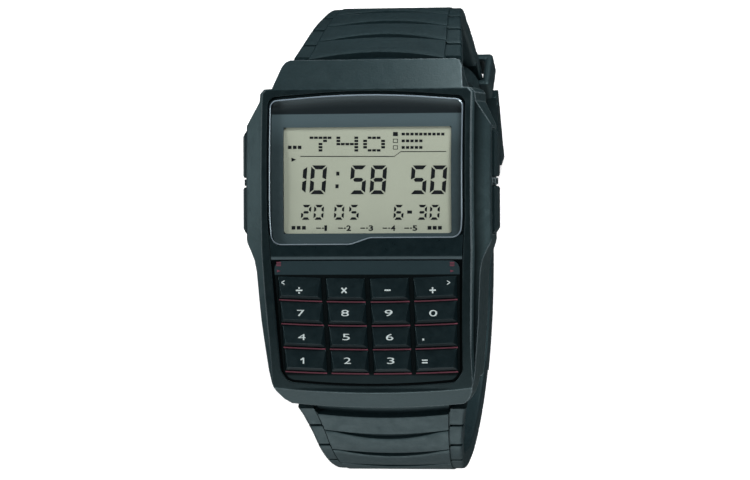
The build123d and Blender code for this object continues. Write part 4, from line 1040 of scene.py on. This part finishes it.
SHORT = chain(S12, H12, [(8.53, 0.0102), (8.12, -0.0321), (8.5, -0.0778), (13.5, -0.0248), (8.35, 0)])
Z_FLOOR = -42.0
bend = [(9.55, -0.0091), (10.98, 0.0657), (12.08, 0.0527), (11.6, 0.0262)]
q = chain(S6, H6, bend)[-1]
rem = 2 * math.pi - q[1]
R5 = (q[0][1] - Z_FLOOR) / (1 - math.cos(rem))
bend.append((R5 * rem, 1 / R5))
q = chain(S6, H6, bend)[-1]
KEEP_H = SHORT[-1][1]
TAIL_UP = KEEP_H + math.pi
FIRST = 18 * DEG
R1, R2 = 40.0, 21.37458131435614
bend += [(-2.95 - q[0][0], 0.0), (R1 * FIRST, 1 / R1), (R2 * (TAIL_UP - FIRST), 1 / R2), (11.0, 0.0)]
LONG = chain(S6, H6, bend)
LONG_LEN = sum(x[2] for x in LONG)
SHORT_LEN = sum(x[2] for x in SHORT)
print("strap lengths", round(SHORT_LEN, 2), round(LONG_LEN, 2))
WIDTH_12 = [(3.6, 12.35), (0.0, 11.75), (-5.0, 10.78), (-9.0, 10.0), (-14.0, 9.4), (-20.0, 9.0)]
WIDTH_6 = [(0.9, 12.5), (-0.8, 11.85), (-4.0, 10.98), (-8.0, 10.2), (-12.0, 9.6), (-17.0, 9.2), (-22.0, 9.0)]


def half_width(z, side):
    env = WIDTH_12 if side > 0 else WIDTH_6
    if z >= env[0][0]:
        return env[0][1]
    for (za, wa), (zb, wb) in zip(env, env[1:]):
        if zb <= z <= za:
            t = (za - z) / (za - zb)
            return wa + (wb - wa) * t
    return env[-1][1]


def strap_point(path, s, depth, side):
    """side +1: the wrist is right of the heading; depth counts from the outer face inwards."""
    y, z, h = at_s(path, s)
    nx, nz = math.sin(h) * side, -math.cos(h) * side
    return y + nx * depth, z + nz * depth


def strap_band(name, path, side, s_end, grooves, first_bow, strip_shift, thick, root_s=2.42):
    """The relief half: raised panels with arched edges, plain edge strips, notches between them.
    Each column has its own stations, so that every edge is a line of the mesh."""
    ROOT_X = 9.45
    cols = []
    # columns as a share of the half width: edge strips, their inner line, then the panel
    side_cols = [("w", 0.0, 0.42), ("w", 0.035, 0.24), ("w", 0.11, 0.10), ("w", 0.24, 0.02), ("w", 0.5, 0.0), ("w", 0.95, 0.0),
                 ("b", 0.10), ("b", 0.03), ("b", -0.03), ("b", -0.12)]
    panel_cols = [0.92, 0.84, 0.76, 0.68, 0.60, 0.52, 0.44, 0.36, 0.28, 0.20, 0.12, 0.04]
    spec = []
    for c in side_cols:
        spec.append(("L", c))
    for f in panel_cols:
        spec.append(("P", -f))
    for f in reversed(panel_cols):
        spec.append(("P", f))
    for c in reversed(side_cols):
        spec.append(("R", c))

    def x_of(item, s):
        kind, c = item
        z = strap_point(path, max(0, s), 0, side)[1]
        w = half_width(z, side)
        b = w - (1.4 + max(0, w - 9.0) * 0.31)
        if kind == "P":
            return c * (b - 0.16)
        sg = -1 if kind == "L" else 1
        if c[0] == "b":
            return sg * (b + c[1])
        return sg * (w - c[1])

    def stations(item):
        """(s, depth) pairs down one column."""
        kind, c = item
        is_strip = kind in "LR" and (c[0] != "b" or c[1] > 0.06)
        is_line = kind in "LR" and c[0] == "b" and abs(c[1]) <= 0.06
        out = []
        edge_drop = c[2] if kind in "LR" and c[0] == "w" else 0.0
        strip_drop = 0.14 if is_strip else 0.0
        if is_line:
            strip_drop = 0.24
        if is_strip or is_line:
            f = 1.0
        else:
            f = abs(c) if kind == "P" else 1.0
        base = strip_drop + edge_drop
        start = root_s if is_strip else -0.3
        rows = []
        for i, s0 in enumerate(grooves):
            if is_strip:
                sc = s0 - strip_shift
                a, b2, c2, d2, e2 = sc - 0.24, sc - 0.17, sc + 0.17, sc + 0.24, sc + 0.30
                depths = (0.0, 0.62, 0.62, 0.03, 0.0)
                if i == 0:
                    a, b2, c2, d2, e2 = root_s, root_s, root_s, root_s, root_s
                    depths = (0.0,) * 5
            elif is_line:
                sc = s0 - strip_shift * 0.5
                a, b2, c2, d2, e2 = sc - 0.24, sc - 0.15, sc + 0.15, sc + 0.24, sc + 0.30
                depths = (0.0, 0.4, 0.4, 0.03, 0.0)
                if i == 0 and start > 2:
                    a = b2 = c2 = d2 = e2 = start
            else:
                lens = max(0.0, 1 - (f / 0.86) ** 2)
                up_e = s0 - 0.10 + 0.95 * (1 - f * f)
                lo_e = up_e + 0.26 + 0.82 * lens
                depth = 0.30 + 0.20 * lens
                a, b2, c2, d2, e2 = up_e, up_e + 0.10, lo_e - 0.05, lo_e, lo_e + 0.10
                depths = (0.0, depth * 0.55, depth, 0.05, 0.0)
                if i == 0:
                    a, b2 = -0.3, -0.1
                    lo_e = s0 + first_bow * (1 - f * f)
                    c2, d2, e2 = lo_e - 0.06, lo_e, lo_e + 0.12
                    depths = (1.0, 1.0, 0.95, 0.05, 0.0)
            rows.append([(a, depths[0] + base), (b2, depths[1] + base), (c2, depths[2] + base), (d2, depths[3] + base), (e2, depths[4] + base)])
        for i, block in enumerate(rows):
            out += block
            last = block[-1][0]
            nxt = rows[i + 1][0][0] if i + 1 < len(rows) else s_end
            k = 5
            for j in range(1, k):
                out.append((last + (nxt - last) * j / k, base))
        out.append((s_end, base))
        return out

    bm = bmesh.new()
    grid = []
    for item in spec:
        col = []
        for s, d in stations(item):
            y, z = strap_point(path, s, d, side)
            col.append(bm.verts.new(Vector((x_of(item, s), y, z)) * MM))
        grid.append(col)
    n = len(grid[0])
    # wrist side, smooth, with soft edges
    inner = []
    for k, item in enumerate(spec):
        col = []
        for s, d in stations(item):
            t = thick(s)
            e = 0.0
            kind, c = item
            if kind in "LR" and c[0] == "w":
                e = c[2]
            y, z = strap_point(path, s, t - e, side)
            col.append(bm.verts.new(Vector((x_of(item, s), y, z)) * MM))
        inner.append(col)
    m = len(spec)
    for j in range(m - 1):
        for i in range(n - 1):
            bm.faces.new((grid[j][i], grid[j + 1][i], grid[j + 1][i + 1], grid[j][i + 1]))
            bm.faces.new((inner[j][i], inner[j][i + 1], inner[j + 1][i + 1], inner[j + 1][i]))
    for i in range(n - 1):
        bm.faces.new((grid[0][i], grid[0][i + 1], inner[0][i + 1], inner[0][i]))
        bm.faces.new((grid[-1][i], inner[-1][i], inner[-1][i + 1], grid[-1][i + 1]))
    for j in range(m - 1):
        bm.faces.new((grid[j][0], inner[j][0], inner[j + 1][0], grid[j + 1][0]))
        bm.faces.new((grid[j][-1], grid[j + 1][-1], inner[j + 1][-1], inner[j][-1]))
    return bm


def add_roll(bm, centre, r, x0, x1, n=40, r_in=0.0):
    """Round end of a strap about its bar, with softened ends."""
    prof = [(x0, r - 0.25), (x0 + 0.08, r - 0.08), (x0 + 0.25, r), (x1 - 0.25, r), (x1 - 0.08, r - 0.08), (x1, r - 0.25)]
    rings = []
    for x, rr in prof:
        rings.append([bm.verts.new(Vector((x, centre[0] + rr * math.cos(2 * math.pi * i / n), centre[1] + rr * math.sin(2 * math.pi * i / n))) * MM)
                      for i in range(n)])
    for a, b in zip(rings, rings[1:]):
        for i in range(n):
            bm.faces.new((a[i], a[(i + 1) % n], b[(i + 1) % n], b[i]))
    bm.faces.new(rings[0][::-1])
    bm.faces.new(rings[-1])


END_S = 36.6
bm = strap_band("short", SHORT, 1, END_S, [1.6, 6.75, 10.95, 15.2, 19.45, 23.7, 27.95, 32.2], 2.0, 0.9, lambda s: 2.6)
add_roll(bm, P12, 1.78, -9.45, 9.45)
strap_short = add_object("strap_short_relief", to_mesh(bm, "strap_short", 0), "strap_short", [M["strap_resin"]], ["strap_short"], 32)

# buckle end of the short half: plain, thinner under the keeper's inner bar, rolled about the pin, slotted
def sp(s, d):
    return strap_point(SHORT, s, d, 1)


SLOT_S = SHORT_LEN - 2.0
near = [sp(END_S + (SLOT_S - END_S) * i / 8, 0.0) for i in range(9)]
under = [sp(SLOT_S, 1.5)] + [sp(SLOT_S - (SLOT_S - 36.95) * i / 6, 1.5) for i in range(1, 7)] + [sp(36.9, 2.6), sp(END_S, 2.6)]
ey, ez, eh = at_s(SHORT, SHORT_LEN)
PIN = sp(SHORT_LEN, 1.3)
roll = []
for i in range(0, 19):
    a = math.pi * i / 18
    # from the outer face, round the pin, to the wrist side
    oy, oz = -math.sin(eh), math.cos(eh)
    ty, tz = math.cos(eh), math.sin(eh)
    roll.append((PIN[0] + 1.3 * (oy * math.cos(a) + ty * math.sin(a)), PIN[1] + 1.3 * (oz * math.cos(a) + tz * math.sin(a))))
farther = roll + [sp(SHORT_LEN - 1.7, 2.6), sp(SHORT_LEN - 1.72, 1.5)]
bm = bmesh.new()


def col(x, pts):
    return [bm.verts.new(Vector((x, q[0], q[1])) * MM) for q in pts]


XS = (-9.0, -1.6, 1.6, 9.0)
N_OUT = len(near)
body_cols = [col(x, near + under) for x in XS]
tip_cols = [col(x, farther) for x in XS]
for i in range(3):
    A, B = body_cols[i], body_cols[i + 1]
    n = len(A)
    for k in range(n):
        if k == N_OUT - 1:
            if i == 1:
                bm.faces.new((A[k], B[k], B[(k + 1) % n], A[(k + 1) % n]))
            continue
        bm.faces.new((A[k], B[k], B[(k + 1) % n], A[(k + 1) % n]))
for A in (body_cols[0], body_cols[3]):
    bm.faces.new(A)
for i, j in ((0, 1), (2, 3)):
    A = [body_cols[i][N_OUT - 1]] + tip_cols[i] + [body_cols[i][N_OUT]]
    B = [body_cols[j][N_OUT - 1]] + tip_cols[j] + [body_cols[j][N_OUT]]
    for k in range(len(A) - 1):
        bm.faces.new((A[k], B[k], B[k + 1], A[k + 1]))
    bm.faces.new(A)
    bm.faces.new(B)
end = add_object("strap_short_end", to_mesh(bm, "strap_short_end", 1e-7), "strap_short", [M["strap_resin"]], ["strap_short"], 35)
bv = end.modifiers.new("round", "BEVEL")
bv.width, bv.segments, bv.limit_method, bv.angle_limit = 0.2 * MM, 3, "ANGLE", math.radians(50)

TAIL_S = 48.0
bm = strap_band("long", LONG, -1, TAIL_S, [3.55, 7.05, 11.3, 15.55, 19.8, 24.05, 28.3, 32.55, 36.8, 41.05], 0.8, 0.9, lambda s: 2.6)
add_roll(bm, P6, 1.78, -9.45, 9.45)
strap_long = add_object("strap_long_relief", to_mesh(bm, "strap_long", 0), "strap_long", [M["strap_resin"]], ["strap_long"], 32)

# tail of the long half: plain, rounded tip, oval adjusting holes
tip = LONG_LEN
half = 9.0
outer = [(-half, TAIL_S), (-half, tip - 7.0)]
for i in range(1, 24):
    a = math.pi - math.pi * i / 24
    outer.append((half * math.cos(a), tip - 7.0 + 7.0 * math.sin(a)))
outer += [(half, tip - 7.0), (half, TAIL_S)]
ovals = []
for i in range(9):
    sc = tip - 9.5 - 6.0 * i
    pts = []
    for j in range(24):
        a = 2 * math.pi * j / 24
        pts.append((0.6 * (1 if math.cos(a) > 0 else -1) + 0.85 * math.cos(a), sc + 0.85 * math.sin(a)))
    ovals.append(pts)
bm = filled_with_holes("strap_tail", outer, ovals, None, 0, 0)
for i in range(int(TAIL_S) + 1, int(tip)):
    bmesh.ops.bisect_plane(bm, geom=bm.verts[:] + bm.edges[:] + bm.faces[:], plane_co=(0, i, 0), plane_no=(0, 1, 0))
ext = bmesh.ops.extrude_face_region(bm, geom=bm.faces[:])
for v in [g for g in ext["geom"] if isinstance(g, bmesh.types.BMVert)]:
    v.co.z = 1.0
for v in bm.verts:
    sx = v.co.y
    t = 2.6 - 0.4 * min(1.0, max(0.0, (sx - 66.0) / 6.0))
    y, z = strap_point(LONG, sx, 0.0 if v.co.z > 0.5 else t, -1)
    v.co = Vector((v.co.x, y, z)) * MM
tail = add_object("strap_tail", to_mesh(bm, "strap_tail", 1e-7), "strap_long", [M["strap_resin"]], ["strap_long"], 35)
bv = tail.modifiers.new("round", "BEVEL")
bv.width, bv.segments, bv.limit_method, bv.angle_limit = 0.28 * MM, 3, "ANGLE", math.radians(50)

# ------------------------------------------------------------------ rounding of CAD nodes
for row in KEYS:
    for k in row:
        round_edges(k, 0.07, 2, 25)
for k in ("button_upper_left", "button_lower_left", "button_upper_right", "button_lower_right"):
    round_edges(k, 0.1, 2, 30)
for k, w in (("keeper_loop", 0.45), ("buckle_frame", 0.3), ("buckle_prong", 0.12)):
    round_edges(k, w, 3, 40)

# ------------------------------------------------------------------ floor and light
bm = bmesh.new()
z = Z_FLOOR - 0.02
bmesh.ops.create_grid(bm, x_segments=2, y_segments=2, size=3.0)
for v in bm.verts:
    v.co.z = z * MM
me = bpy.data.meshes.new("floor")
bm.to_mesh(me)
bm.free()
floor = bpy.data.objects.new("floor", me)
bpy.context.scene.collection.objects.link(floor)
fm, nt, b, out = new_mat("floor_paper")
b.inputs["Emission Color"].default_value = (1, 1, 1, 1)
b.inputs["Emission Strength"].default_value = 0.50
co = node(nt, "ShaderNodeTexCoord").outputs["Object"]
n = noise(nt, co, 30.0, 2.0, 0.5)
nt.links.new(mix_col(nt, n, (0.90, 0.90, 0.90), (0.92, 0.92, 0.92)), b.inputs["Base Color"])
b.inputs["Roughness"].default_value = 0.9
b.inputs["Specular IOR Level"].default_value = 0.1
me.materials.append(fm)
floor.visible_glossy = False

world = bpy.data.worlds.new("studio")
bpy.context.scene.world = world
world.use_nodes = True
nt = world.node_tree
nt.nodes.clear()
wo = node(nt, "ShaderNodeOutputWorld")
bg = node(nt, "ShaderNodeBackground")
tc = node(nt, "ShaderNodeTexCoord")
sep = node(nt, "ShaderNodeSeparateXYZ")
nt.links.new(tc.outputs["Generated"], sep.inputs[0])
height = remap(nt, sep.outputs[2], -1.0, 1.0, 0.0, 1.0)
STOPS = (0.0, 0.25, 0.42, 0.5, 0.58, 0.75, 1.0)


def sky(values, tint):
    ramp = node(nt, "ShaderNodeValToRGB")
    ramp.color_ramp.interpolation = "LINEAR"
    els = ramp.color_ramp.elements
    while len(els) > 1:
        els.remove(els[-1])
    els[0].position = STOPS[0]
    for s in STOPS[1:]:
        els.new(s)
    for e, v, k in zip(els, values, tint):
        e.color = (v * k[0], v * k[1], v * k[2], 1)
    nt.links.new(height, ramp.inputs[0])
    return ramp.outputs[0]


COLD, PLAIN = (0.62, 0.92, 1.0), (0.94, 1.0, 1.02)
TINT = (COLD, (0.86, 0.98, 1.0), PLAIN, PLAIN, PLAIN, PLAIN, PLAIN)
SKY_FRONT = (0.055, 0.64, 0.53, 0.02, 0.02, 0.03, 0.02)
SKY_BACK = (0.055, 0.03, 0.42, 0.02, 0.02, 0.03, 0.02)
front = remap(nt, sep.outputs[1], 0.2, -0.2, 0.0, 1.0)
nt.links.new(mix_col(nt, front, sky(SKY_BACK, TINT), sky(SKY_FRONT, TINT)), bg.inputs[0])
bg.inputs[1].default_value = 1.0
nt.links.new(bg.outputs[0], wo.inputs[0])


def area(name, loc, target, size, power, size_y=None, color=(1, 1, 1)):
    d = bpy.data.lights.new(name, "AREA")
    d.energy = power
    d.size = size
    d.color = color
    if size_y:
        d.shape = "RECTANGLE"
        d.size_y = size_y
    o = bpy.data.objects.new(name, d)
    o.location = loc
    o.rotation_mode = "QUATERNION"
    o.rotation_quaternion = (Vector(target) - Vector(loc)).to_track_quat("-Z", "Y")
    bpy.context.scene.collection.objects.link(o)
    return o


area("key_top_right", (0.10, 0.20, 0.16), (0.004, 0.02, 0.0), 0.10, 0.66)
area("left_high", (-0.40, 0.04, 0.30), (0, 0, 0), 0.24, 1.42)
area("right_high", (0.45, -0.05, 0.35), (0, 0, 0), 0.16, 0.20)
area("edge_right", (0.36, 0.01, 0.40), (0.01, 0, 0), 0.09, 0.12)
area("front_high", (-0.04, -0.40, 0.30), (0, -0.01, 0), 0.30, 0.50)
area("front_low", (-0.05, -0.42, 0.04), (0, -0.01, 0), 0.26, 0.80)
area("hood_near", (0.016, 0.10, 0.006), (0.004, 0.022, 0.004), 0.03, 0.0125)
area("hood_close", (0.012, 0.07, 0.006), (0.004, 0.022, 0.004), 0.022, 0.003)

sc = bpy.context.scene
sc.view_settings.view_transform = "Standard"
sc.view_settings.look = "None"
